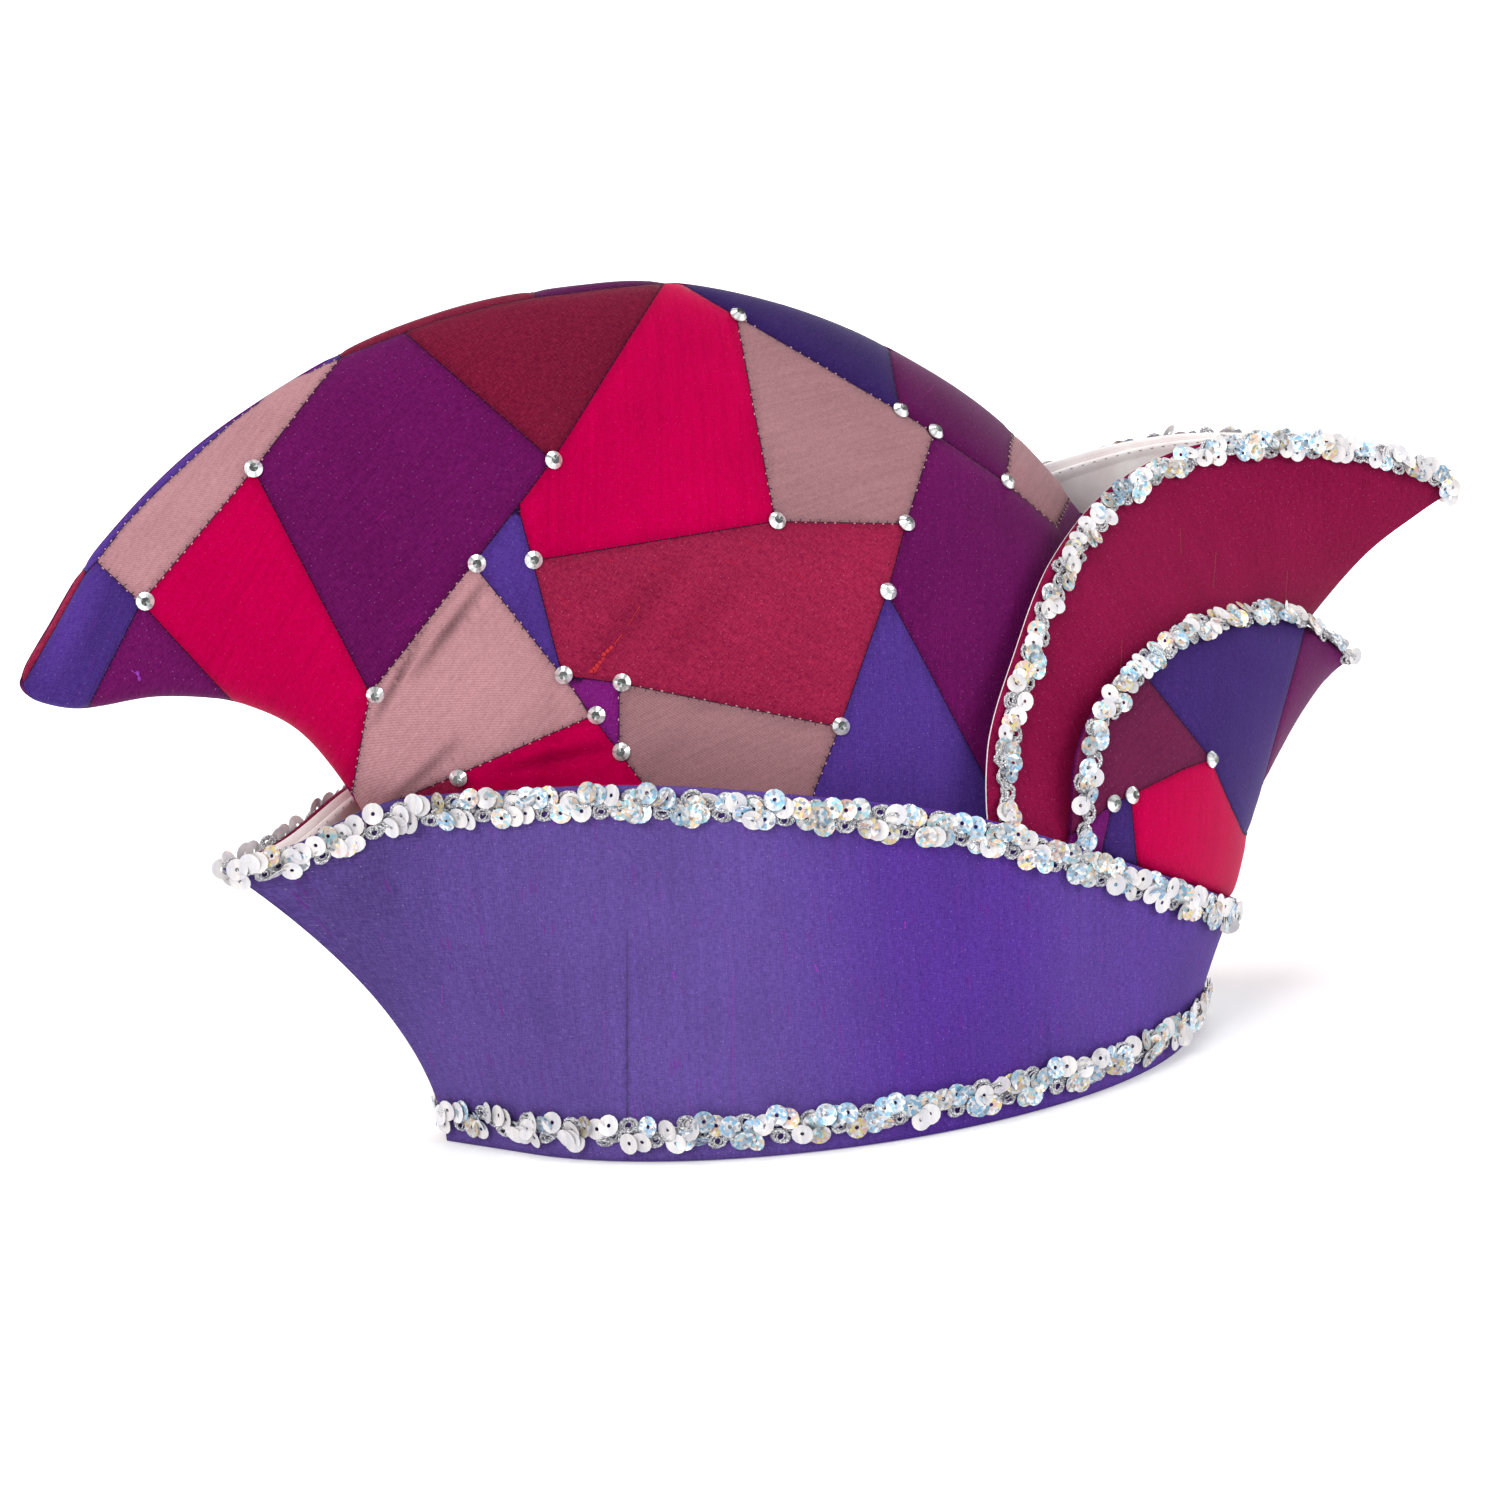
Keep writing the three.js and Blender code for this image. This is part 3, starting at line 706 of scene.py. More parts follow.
# %% [markdown]
# ## Laying out the patchwork
# A quilter cuts along a rule, so each patch is a polygon in a flat chart of its panel. The near side's
# chart is the picture itself, with named corners in its pixels, and each seam is cut by the plane through
# the camera and two corners, which is what a straight seam in a picture means. The far side can't be seen
# there, so its chart is the plain side view in millimetres, and its seams are cut straight across.

# %% Charts
def pixel_ray(pixel):
    """The direction from the camera through a pixel of the picture."""
    across = (pixel[0] - PICTURE_SIDE / 2) / focal_pixels
    rise = (PICTURE_SIDE / 2 - pixel[1]) / focal_pixels
    return sight_right * across + sight_up * rise - sight_back


class PictureChart:
    """Corners are pixels of the picture."""

    unit = 1 / PIXELS_PER_METRE

    def places(self, points):
        away = points - camera_place
        depth = -(away @ sight_back)
        across = away @ sight_right / depth
        rise = away @ sight_up / depth
        return PICTURE_SIDE / 2 + focal_pixels * np.stack((across, -rise), -1)

    def plane(self, first, second):
        """A point and the normal of the plane that looks edge-on along a seam."""
        return camera_place, np.cross(pixel_ray(first), pixel_ray(second))


class SideChart:
    """Corners are millimetres to the front and up, seen from the side."""

    unit = MM

    def places(self, points):
        return points[:, (0, 2)] / MM

    def plane(self, first, second):
        run = np.subtract(second, first)
        return np.array((first[0] * MM, 0, first[1] * MM)), np.array((run[1], 0, -run[0]))


# %% Crown corners and patches, near side
NEAR = {
    "s1": (254, 469), "s2": (141, 603), "s3": (370, 694), "s4": (473, 564), "s5": (533, 561),
    "s6": (553, 460), "s7": (563, 676), "s8": (592, 716), "s9": (619, 683), "s10": (619, 752),
    "s11": (451, 778), "s12": (776, 521), "s13": (737, 315), "s14": (901, 411), "s15": (935, 432),
    "s16": (1007, 482), "s17": (907, 523), "s18": (888, 592), "s19": (840, 727),
    "tip": (22, 684), "tip_out": (2, 700), "tip_low": (90, 706), "tip_low_out": (72, 745),
    "lap_a": (85, 572), "lap_b": (96, 561), "lap_c": (121, 527), "lap_d": (158, 489), "lap_e": (200, 450),
    "lap_f": (232, 421), "lap_g": (269, 394), "lap_h": (303, 374), "lap_i": (340, 356), "lap_j": (404, 331),
    "lap_k": (443, 317), "lap_l": (498, 303), "lap_m": (537, 296), "lap_n": (600, 288), "lap_o": (664, 282),
    "ridge_a": (60, 540), "ridge_b": (320, 320), "ridge_c": (525, 270), "ridge_d": (664, 255),
    "ridge_e": (684, 284), "ridge_f": (690, 255), "ridge_g": (889, 345), "ridge_h": (905, 325),
    "ridge_i": (1013, 432),
    "ridge_j": (1032, 412), "ridge_k": (1074, 492), "ridge_l": (1084, 475), "ridge_m": (1140, 470),
    "tail_a": (229, 699), "tail_a_out": (232, 745), "tail_b": (352, 790), "tail_b_out": (325, 835),
    "notch": (518, 506), "foot_a": (388, 805), "foot_a_out": (380, 860), "foot_b": (474, 798),
    "foot_b_out": (480, 860), "foot_c": (646, 788), "foot_c_out": (668, 850), "foot_d": (815, 790),
    "foot_d_out": (795, 860), "foot_e": (985, 775), "foot_e_out": (1020, 860), "front_a": (1058, 526),
    "front_b": (1320, 600), "front_c": (1320, 900),
}
# On this side a tone is partly the patch's own lightness and partly painted light and shade: lower on the
# strips beyond the ridge and on the patches in the fins' shade, higher where a sheen falls.
NEAR_PATCHES = (
    # name, silk, grain angle in degrees, tone, corners
    ("lap_tip", "crimson", 60, 0.9, "tip_out tip lap_a ridge_a"),
    ("lap_rear", "indigo", 45, 1.15, "ridge_a lap_a lap_b lap_c lap_d lap_e lap_f lap_g lap_h lap_i ridge_b"),
    ("lap_mid", "crimson", 20, 0.6, "ridge_b lap_i lap_j lap_k lap_l lap_m ridge_c"),
    ("lap_top", "plum", 5, 0.75, "ridge_c lap_m lap_n lap_o ridge_d"),
    ("tip", "indigo", 62, 0.9, "tip_out tip lap_a lap_b s2 tip_low tip_low_out"),
    ("tail_plum", "plum", 20, 1.15, "s2 tip_low tip_low_out tail_a_out tail_a"),
    ("rear_mauve", "mauve", 48, 1.0, "lap_b lap_c lap_d lap_e lap_f lap_g lap_h lap_i s1 s2"),
    ("rear_raspberry", "raspberry", 50, 1.0, "s1 s2 tail_a tail_a_out tail_b_out tail_b s3"),
    ("big_plum", "plum", 35, 1.0, "lap_i lap_j s6 notch s4 s3 s1"),
    ("top_crimson", "crimson", 28, 0.54, "lap_j lap_k lap_l lap_m lap_n lap_o s6"),
    ("big_raspberry", "raspberry", 80, 1.0, "lap_o ridge_d ridge_f ridge_e s13 s12 s5 notch s6"),
    ("sliver", "indigo", 55, 1.1, "notch s4 s7 s5"),
    ("low_mauve", "mauve", 40, 1.06, "s4 s7 s8 s11 foot_a foot_a_out tail_b_out tail_b s3"),
    ("big_crimson", "crimson", -42, 1.0, "s5 s12 s17 s18 s19 s9 s7"),
    ("corner_magenta", "magenta", 70, 1.0, "s7 s9 s10 s8"),
    ("foot_mauve", "mauve", 8, 0.72, "s9 s19 foot_d foot_d_out foot_c_out foot_c s10"),
    ("foot_raspberry", "raspberry", -12, 1.0, "s11 s8 s10 foot_c foot_c_out foot_b_out foot_b"),
    ("foot_crimson", "crimson", -20, 1.0, "s11 foot_b foot_b_out foot_a_out foot_a"),
    ("top_mauve", "mauve", 12, 0.76, "s13 s14 s15 s17 s12"),
    ("top_indigo", "indigo", 30, 0.44, "ridge_e ridge_f ridge_h ridge_g s14 s13"),
    ("front_plum", "plum", 40, 0.78, "ridge_g ridge_h ridge_j ridge_i s16 s15 s14"),
    ("front_mauve", "mauve", 45, 0.74, "ridge_i ridge_j ridge_l ridge_k front_a s16"),
    ("side_plum", "plum", 74, 1.0,
     "s15 s16 front_a ridge_k ridge_l ridge_m front_b front_c foot_e_out foot_e s18 s17"),
    ("foot_indigo", "indigo", 80, 1.08, "s18 foot_e foot_e_out foot_d_out foot_d s19"),
)

# %% Crown corners and patches, far side
FAR = {
    "s1": (-174.4, 156.6), "s2": (-144.6, 143.2), "s3": (-135.4, 187.2), "s4": (-112.7, 149.4),
    "s5": (-86.2, 171.7), "s6": (-90.3, 91.8), "s7": (-68.5, 132.7), "s8": (-38.9, 186.6),
    "s9": (-45.1, 108), "s10": (-8, 145.4), "s11": (-7.5, 90.9), "s12": (30.8, 170.8), "s13": (43.3, 127.9),
    "tip_low": (-230, 118), "tip_high": (-232, 156), "ridge_a": (-213, 173.6), "ridge_b": (-110.6, 226),
    "ridge_c": (-58.2, 238), "ridge_d": (-23.1, 236), "ridge_e": (34, 220), "ridge_f": (90, 182),
    "front_high": (130, 150), "front_low": (130, -12), "foot_a": (-186, 115), "foot_b": (-152, 104),
    "foot_c": (-122, 50), "foot_d": (-112, -12), "foot_e": (-8, -12), "foot_f": (62, -12),
}
FAR_PATCHES = (
    ("tip", "crimson", 60, 0.8, "tip_low tip_high ridge_a s1 foot_a"),
    ("rear_indigo", "indigo", 45, 1.15, "ridge_a ridge_b s3 s1"),
    ("rear_mauve", "mauve", 30, 0.85, "s1 s3 s4 s2"),
    ("tail_plum", "plum", 20, 1.0, "foot_a s1 s2 foot_b"),
    ("top_crimson", "crimson", 20, 0.8, "ridge_b ridge_c s5 s4 s3"),
    ("rear_raspberry", "raspberry", 70, 1.0, "s2 s4 s6 foot_c foot_b"),
    ("top_plum", "plum", 5, 1.0, "ridge_c ridge_d s8 s7 s5"),
    ("middle_indigo", "indigo", 50, 0.85, "s4 s5 s7 s9 s6"),
    ("middle_mauve", "mauve", 15, 0.85, "s7 s8 s10 s9"),
    ("top_raspberry", "raspberry", -20, 1.0, "ridge_d ridge_e s12 s10 s8"),
    ("side_crimson", "crimson", 75, 0.8, "s10 s12 s13 s11"),
    ("middle_plum", "plum", 35, 1.0, "s9 s10 s11"),
    ("foot_raspberry", "raspberry", 80, 1.0, "s6 s9 foot_d foot_c"),
    ("foot_violet", "violet", 85, 1.0, "s9 s11 foot_e foot_d"),
    ("front_indigo", "indigo", -30, 0.85, "s12 ridge_e ridge_f s13"),
    ("front_plum", "plum", 70, 1.0, "s13 ridge_f front_high front_low foot_f"),
    ("foot_mauve", "mauve", 60, 0.85, "s11 s13 foot_f foot_e"),
)

# %% Fin corners and patches
NEAR_FIN = {
    "f1": (1212, 759), "f2": (1132, 795), "f3": (1114, 803), "f4": (1243, 830),
    "arc_a": (1150, 786), "arc_b": (1182, 770), "edge_a": (1110, 628), "edge_b": (1308, 622),
    "edge_c": (1400, 620), "front_a": (1400, 760), "front_b": (1270, 880), "front_c": (1250, 835),
    "foot_a": (1250, 980), "foot_b": (1140, 980), "foot_c": (1138, 863), "foot_d": (1085, 980),
    "foot_e": (1104, 846), "foot_f": (1030, 980), "foot_g": (1040, 850), "foot_h": (1079, 831),
    "rear": (1030, 690),
}
# Here too a tone is partly the patch's own lightness and partly painted light and shade.
NEAR_FIN_PATCHES = (
    ("rear_wine", "wine", 30, 0.9, "f1 edge_a rear foot_g foot_h f3 f2 arc_a arc_b"),
    ("top_indigo", "indigo", 70, 0.7, "f1 edge_a edge_b front_c f4"),
    ("tip_plum", "plum", 60, 1.0, "edge_b edge_c front_a front_b front_c"),
    ("raspberry", "raspberry", 80, 1.1, "f2 arc_a arc_b f1 f4 front_c front_b foot_a foot_b foot_c"),
    ("foot_indigo", "indigo", 75, 0.75, "f3 f2 foot_c foot_b foot_d foot_e"),
    ("foot_magenta", "magenta", 75, 1.0, "foot_h f3 foot_e foot_d foot_f foot_g"),
)
# Around the front the fin turns out of the picture. There each patch runs on level with the place where the
# seam below it, given by its two corners, leaves the picture, and the last patch takes the rest.
NEAR_FIN_TURN = (("tip_plum", ("edge_b", "front_c")), ("top_indigo", ("f4", "front_c")), ("raspberry", None))
FAR_FIN = {
    "f1": (95.9, 79), "f2": (62.2, 78.1), "f3": (130, 75.5), "edge_a": (75, 140), "edge_b": (150, 140),
    "edge_c": (205, 115), "front": (195, 60), "foot_a": (150, 35), "foot_b": (112, -10), "foot_c": (80, -10),
    "foot_d": (20, -10), "rear_low": (15, 60), "rear_high": (15, 120),
}
FAR_FIN_PATCHES = (
    ("rear_plum", "plum", 30, 1.0, "f2 f1 edge_a rear_high rear_low"),
    ("top_indigo", "indigo", 70, 1.0, "f1 edge_a edge_b f3"),
    ("tip_mauve", "mauve", 20, 1.0, "f3 edge_b edge_c front foot_a"),
    ("raspberry", "raspberry", 75, 1.0, "f1 f3 foot_a foot_b foot_c"),
    ("foot_wine", "wine", 60, 1.0, "f2 f1 foot_c foot_d rear_low"),
)
print("patches:", len(NEAR_PATCHES) + len(FAR_PATCHES) + len(NEAR_FIN_PATCHES) + len(FAR_FIN_PATCHES))

# %% [markdown]
# ## Cutting the seams
# bisect_plane cuts only the faces near a seam, a little past both corners. Then every face lies in one
# patch, and is named after the polygon that its middle falls in. A tree of points on the seams gives
# each vertex its distance to the next seam, which the silk finish and the padding both need.

# %% Cut and name the patches
CUT_REACH = 3.6 * MM
DOUBLE_DISTANCE = 0.02 * MM
SEAM_POINTS = 5


def polygons_of(corners, patches):
    return [np.array([corners[name] for name in words.split()], float) for _, _, _, _, words in patches]


def from_segment(places, first, second):
    """The distance of chart places to a straight line between two corners."""
    run = second - first
    share = np.clip((places - first) @ run / (run @ run), 0, 1)
    return np.linalg.norm(places - (first + share[:, None] * run), axis=1)


def inside(places, polygon):
    """Which places lie inside a polygon, by counting its sides to their right."""
    found = np.zeros(len(places), bool)
    for first, second in zip(polygon, np.roll(polygon, -1, axis=0)):
        crosses = (first[1] > places[:, 1]) != (second[1] > places[:, 1])
        slope = (second[0] - first[0]) / (second[1] - first[1] + 1e-12)
        found ^= crosses & (places[:, 0] < first[0] + slope * (places[:, 1] - first[1]))
    return found


def turned_away(bm):
    """The faces that look away from the camera."""
    eye = Vector(camera_place)
    return [face for face in bm.faces if face.normal.dot(eye - face.calc_center_median()) < 0]


def cut_faces(bm, faces, place, normal):
    edges = {edge for face in faces for edge in face.edges}
    vertices = {vertex for face in faces for vertex in face.verts}
    bmesh.ops.bisect_plane(bm, geom=[*vertices, *edges, *faces], dist=1e-6, plane_co=place, plane_no=normal)


def turning_rows(bm, chart, corners, turn):
    """The lowest row of the chart that each patch reaches where the sheet turns away."""
    away = set(turned_away(bm))
    outline = [edge for edge in bm.edges
               if not edge.is_boundary and sum(face in away for face in edge.link_faces) == 1]
    places = chart.places(np.array([edge.verts[0].co.lerp(edge.verts[1].co, 0.5) for edge in outline]))
    rows = []
    for name, seam in turn:
        if seam is None:
            rows.append((name, PICTURE_SIDE))
            continue
        first, second = (np.array(corners[corner], float) for corner in seam)
        rows.append((name, float(places[np.argmin(from_segment(places, first, second)), 1])))
    return rows


def cut_patches(bm, chart, corners, patches, turn):
    """Cuts a sheet along the sides of its patches and returns the patch number of every face."""
    rows = turning_rows(bm, chart, corners, turn) if turn else []
    for _, row in rows[:-1]:
        cut_faces(bm, turned_away(bm), *chart.plane((0, row), (PICTURE_SIDE, row)))
    polygons = polygons_of(corners, patches)
    seams = set()
    for _, _, _, _, words in patches:
        names = words.split()
        seams |= {tuple(sorted(pair)) for pair in zip(names, names[1:] + names[:1])}
    for first_name, second_name in sorted(seams):
        first = np.array(corners[first_name], float)
        second = np.array(corners[second_name], float)
        near = from_segment(chart.places(places_of(bm)), first, second) < CUT_REACH / chart.unit
        bm.verts.ensure_lookup_table()
        faces = {face for index in np.flatnonzero(near) for face in bm.verts[index].link_faces}
        if faces:
            cut_faces(bm, faces, *chart.plane(first, second))
    bmesh.ops.dissolve_degenerate(bm, dist=DOUBLE_DISTANCE, edges=bm.edges)
    bm.normal_update()
    middles = chart.places(np.array([face.calc_center_median() for face in bm.faces]))
    numbers = np.full(len(middles), -1)
    for number, polygon in enumerate(polygons):
        numbers[(numbers < 0) & inside(middles, polygon)] = number
    lost = np.flatnonzero(numbers < 0)
    if len(lost):
        gaps = [np.min([from_segment(middles[lost], a, b) for a, b in zip(p, np.roll(p, -1, axis=0))], axis=0)
                for p in polygons]
        numbers[lost] = np.argmin(gaps, axis=0)
    bm.faces.index_update()
    names = [patch[0] for patch in patches]
    for face in turned_away(bm) if turn else ():
        numbers[face.index] = names.index(next(name for name, row in rows if middles[face.index][1] < row))
    return numbers


def seam_runs(bm, numbers):
    """The edges between two patches, as a list for each pair of patch numbers."""
    bm.faces.index_update()
    runs = {}
    for edge in bm.edges:
        sides = [numbers[face.index] for face in edge.link_faces]
        if len(sides) == 2 and sides[0] != sides[1]:
            runs.setdefault((min(sides), max(sides)), []).append(edge)
    return runs


def seam_distances(bm, runs):
    """The distance of every vertex to the next seam, in millimetres."""
    ends = [[vertex.co for vertex in edge.verts] for edges in runs.values() for edge in edges]
    points = [first.lerp(second, step) for first, second in ends for step in np.linspace(0, 1, SEAM_POINTS)]
    tree = kdtree.KDTree(len(points))
    for index, point in enumerate(points):
        tree.insert(point, index)
    tree.balance()
    distances = np.array([tree.find(vertex.co)[2] for vertex in bm.verts]) / MM
    bm.verts.index_update()
    for edges in runs.values():
        for edge in edges:
            for vertex in edge.verts:
                distances[vertex.index] = 0
    return distances


# %% [markdown]
# ## Padding, creases and ripples
# Real patchwork is never flat: the cloth dips at each seam, ripples softly, and has a few creases where
# it was pulled. Each vertex is moved along its normal by the sum of those heights.

# %% Relief of a sheet
SEAM_DIP = 0.4
SEAM_DIP_WIDTH = 2.2
CREASE_LIGHT = 0.25
CREASE_SIDE = 1.9
DARKEST_SHADE = 0.7
SHARP_CREASE = 2.5
REFINED_WIDTHS = 3
REFINED_SHARE = 0.55
SEAM_SHADOW = 0.22
SEAM_SHADOW_WIDTH = 1.3
RIPPLE_HEIGHT = 0.22
RIPPLE_SIZE = 24.0


def ripples(points, size, seed):
    offset = Vector((seed * 7.3, seed * 3.1, seed * 5.7))
    return np.array([noise.noise(Vector(point) / (size * MM) + offset) for point in points])


def along_crease(places, unit, first, second):
    """How far along a crease each place lies, from 0 to 1, and how far beside it in millimetres."""
    run = np.array(second, float) - first
    share = (places - first) @ run / (run @ run)
    across = (places[:, 0] - first[0]) * run[1] - (places[:, 1] - first[1]) * run[0]
    return share, across / np.linalg.norm(run) * unit / MM


def crease_relief(places, unit, creases):
    """Heights and shades of valleys along straight lines of a chart, with raised and lighter sides."""
    heights = np.zeros(len(places))
    shades = np.zeros(len(places))
    for first, second, width, depth, shade in creases:
        share, distance = along_crease(places, unit, first, second)
        distance /= width
        fade = np.clip(1 - np.abs(2 * share - 1), 0, 1) ** 0.5
        heights -= depth * fade * (1 - 2 * distance ** 2) * np.exp(-distance ** 2)
        beside = np.exp(-(np.abs(distance) - CREASE_SIDE) ** 2)
        shades += shade * fade * (np.exp(-distance ** 2) - CREASE_LIGHT * beside)
    return heights, np.minimum(shades, DARKEST_SHADE)


def refine(bm, chart, creases):
    """Cuts the cells beside the sharp creases smaller, so that a crease comes out crisp."""
    for first, second, width, _, _ in creases:
        if width < SHARP_CREASE:
            share, distance = along_crease(chart.places(places_of(bm)), chart.unit, first, second)
            near = (np.abs(distance) < REFINED_WIDTHS * width) & (np.abs(share - 0.5) < REFINED_SHARE)
            bm.verts.index_update()
            edges = [edge for edge in bm.edges if near[edge.verts[0].index] and near[edge.verts[1].index]]
            bmesh.ops.subdivide_edges(bm, edges=edges, cuts=1, use_grid_fill=True)
    bm.normal_update()


def lift(bm, heights):
    """Moves every vertex along its normal by a height in millimetres."""
    bm.normal_update()
    for vertex, height in zip(bm.verts, heights):
        vertex.co += vertex.normal * float(height * MM)


def set_values(items, name, values):
    """Stores a number at every vertex or at every face, for a finish to read."""
    layer = items.layers.float.new(name)
    for item, value in zip(items, values):
        item[layer] = float(value)


def set_weave(bm, flat_places, angles):
    """Lays the weave map of every face in millimetres, turned to the grain of its patch."""
    layer = bm.loops.layers.uv.new("weave")
    bm.verts.index_update()
    for face, angle in zip(bm.faces, np.radians(angles)):
        cosine = math.cos(angle)
        sine = math.sin(angle)
        for loop in face.loops:
            across, rise = flat_places[loop.vert.index]
            loop[layer].uv = (cosine * across + sine * rise, cosine * rise - sine * across)


# %% [markdown]
# ## From sheet to wall
# The stiffened panels are walls of one to three millimetres. The sheet is extruded and its copy moved
# inwards along the vertex normals, because solidify stretches a wall into spikes where a panel ends in a
# narrow point. The inner faces get the lining, the rim around them the cloth that is turned over it,
# and nothing crosses the middle of the cap or sinks below the rim.

# %% Wall and object
def close_wall(bm, side, thickness, inner, rim):
    """Makes the sheet a closed wall. inner and rim are the material numbers of the new faces."""
    bm.normal_update()
    inwards = bm.verts.layers.float_vector.new("inwards")
    for vertex, depth in zip(bm.verts, np.broadcast_to(thickness, len(bm.verts))):
        vertex[inwards] = vertex.normal * float(-depth * MM)
    outside = set(bm.faces)
    made = bmesh.ops.extrude_face_region(bm, geom=bm.faces[:], use_keep_orig=True)["geom"]
    lower_faces = {item for item in made if isinstance(item, bmesh.types.BMFace)}
    for item in made:
        if isinstance(item, bmesh.types.BMVert):
            item.co += item[inwards]
    bm.verts.layers.float_vector.remove(inwards)
    for face in bm.faces:
        if face in lower_faces:
            face.material_index = inner
        elif face not in outside:
            face.material_index = rim
    bmesh.ops.recalc_face_normals(bm, faces=bm.faces)
    for vertex in bm.verts:
        vertex.co.y = min(vertex.co.y * side, -GAP / 2 * MM) * side
        vertex.co.z = max(vertex.co.z, 0)


def place_piece(piece, nodes):
    """Every piece rides on the cap's one body and stands for CAD nodes."""
    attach(piece, "root")
    if nodes:
        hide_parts(*nodes)
    return piece


def panel_piece(bm, side, names, materials, wall, inner, rim):
    """Makes a sheet a wall and a piece. names holds the names of the piece, its node and its slot, and the
    slot's name is not used.
    """
    name, node, slot = names
    area = sum(face.calc_area() for face in bm.faces)
    close_wall(bm, side, wall, inner, rim)
    piece = object_from(f"{name}_{SIDE_NAMES[side]}", bm, materials)
    place_piece(piece, [f"{node}_{SIDE_NAMES[side]}"])
    print(piece.name, "area in square cm:", round(area * 1e4))
    return piece, area


def unfolded(points):
    """Flat places in millimetres for points of a fin or a lining, which runs to the front and inwards."""
    return np.stack((points[:, 0] - np.abs(points[:, 1]), points[:, 2]), -1) / MM


SIDE_NAMES = {RIGHT: "right", LEFT: "left"}
PATCHWORK_SHEETS = {
    # surface: grid counts, how the rows are spread, wall in millimetres
    "crown": ((208, 100), eased, CROWN_WALL),
    "small_fin": ((76, 84), even, FIN_WALL),
}
SILK_ORDER = list(SILK)
PATCH_MATERIALS = [SILK[name] for name in SILK_ORDER] + [LINING]
LINING_NUMBER = len(SILK_ORDER)
stitch_runs = {}
# Over the ridge the cloth lies level, so the weave map counts this share of the way across too
RIDGE_TURN = 0.6


def patchwork(surface, side, chart, corners, patches, creases=(), turn=(), sheens=()):
    """One patchwork panel and its area. The runs of its seams are kept for the stitches."""
    counts, spread, wall = PATCHWORK_SHEETS[surface]
    bm, _, _ = cloth_grid(surface, side, counts, spread=spread)
    refine(bm, chart, creases)
    numbers = cut_patches(bm, chart, corners, patches, turn)
    runs = seam_runs(bm, numbers)
    distances = seam_distances(bm, runs)
    points = places_of(bm)
    heights = -SEAM_DIP * np.exp(-((distances / SEAM_DIP_WIDTH) ** 2))
    heights += RIPPLE_HEIGHT * ripples(points, RIPPLE_SIZE, side + 3)
    crease_lift, shades = crease_relief(chart.places(points), chart.unit, creases)
    lift(bm, heights + crease_lift)
    set_values(bm.verts, "seam", distances)
    _, sheen_shades = crease_relief(chart.places(points), chart.unit, sheens)
    seam_shades = SEAM_SHADOW * np.exp(-((distances / SEAM_SHADOW_WIDTH) ** 2))
    # Painted shade in the creases and beside the seams, and a painted sheen where the cloth turns to the
    # light
    set_values(bm.verts, "painted_shading", np.maximum(shades, seam_shades) + sheen_shades)
    for face, number in zip(bm.faces, numbers):
        face.material_index = SILK_ORDER.index(patches[number][1])
    set_values(bm.faces, "tone", [patches[number][3] for number in numbers])
    angles = [patches[number][2] for number in numbers]
    flat_places = points[:, (0, 2)] / MM
    flat_places[:, 1] -= RIDGE_TURN * np.abs(points[:, 1]) / MM
    set_weave(bm, flat_places, angles)
    bm.normal_update()
    stitch_runs[f"{surface}_silk_{SIDE_NAMES[side]}"] = seam_lines(runs, patches, numbers)
    names = (f"{surface}_silk", surface, "patchwork_silk")
    return panel_piece(bm, side, names, PATCH_MATERIALS, wall, LINING_NUMBER, SILK_ORDER.index("plum"))


def chains(edges):
    """Joins edges that meet into lines of vertices."""
    links = {}
    for edge in edges:
        for vertex in edge.verts:
            links.setdefault(vertex, []).append(edge)
    left = set(edges)
    lines = []
    while left:
        ends = [vertex for vertex, own in links.items() if sum(edge in left for edge in own) == 1]
        here = ends[0] if ends else next(edge for edge in edges if edge in left).verts[0]
        line = [here]
        ahead = [edge for edge in links[here] if edge in left]
        while ahead:
            left.discard(ahead[0])
            here = ahead[0].other_vert(here)
            line.append(here)
            ahead = [edge for edge in links[here] if edge in left]
        lines.append(line)
    return lines


def seam_lines(runs, patches, numbers):
    """Each seam as a line of places and normals, with the way to its first patch and the two silks."""
    lines = []
    for (first, second), edges in sorted(runs.items()):
        for line in chains(edges):
            points = np.array([vertex.co for vertex in line])
            normals = np.array([vertex.normal for vertex in line])
            ways = np.array([np.mean([face.calc_center_median() for face in vertex.link_faces
                                      if numbers[face.index] == first], axis=0) for vertex in line]) - points
            lines.append((points, normals, ways, patches[first][1], patches[second][1]))
    return lines


# %% Crown panels
NEAR_CREASES = (
    # first and last pixel, width and depth in millimetres, shade
    ((494, 570), (408, 684), 1.5, 1.0, 0.62),
    ((430, 620), (370, 730), 1.4, 0.9, 0.55),
    ((462, 736), (392, 804), 1.7, 0.9, 0.5),
    ((480, 775), (630, 742), 2.2, 0.8, 0.42),
    ((500, 752), (560, 700), 3.0, 0.3, 0.1),
    ((570, 690), (700, 540), 4.5, 0.5, 0.22),
    ((640, 690), (752, 560), 5.5, 0.4, 0.15),
    ((545, 660), (512, 575), 2.5, 0.4, 0.2),
    ((640, 775), (690, 730), 3.0, 0.3, 0.15),
)
# Where the padded cloth turns to the light it shows a broad sheen, which is a shade below nothing
NEAR_SHEENS = (
    ((98, 556), (44, 684), 4.2, 0.0, -0.42),
)
FAR_CREASES = (
    ((-110, 140), (-96, 100), 2.2, 0.6, 0.35),
    ((-60, 150), (-30, 120), 3.0, 0.4, 0.2),
)
crown_right = patchwork("crown", RIGHT, PictureChart(), NEAR, NEAR_PATCHES, NEAR_CREASES, sheens=NEAR_SHEENS)
crown_left = patchwork("crown", LEFT, SideChart(), FAR, FAR_PATCHES, FAR_CREASES)

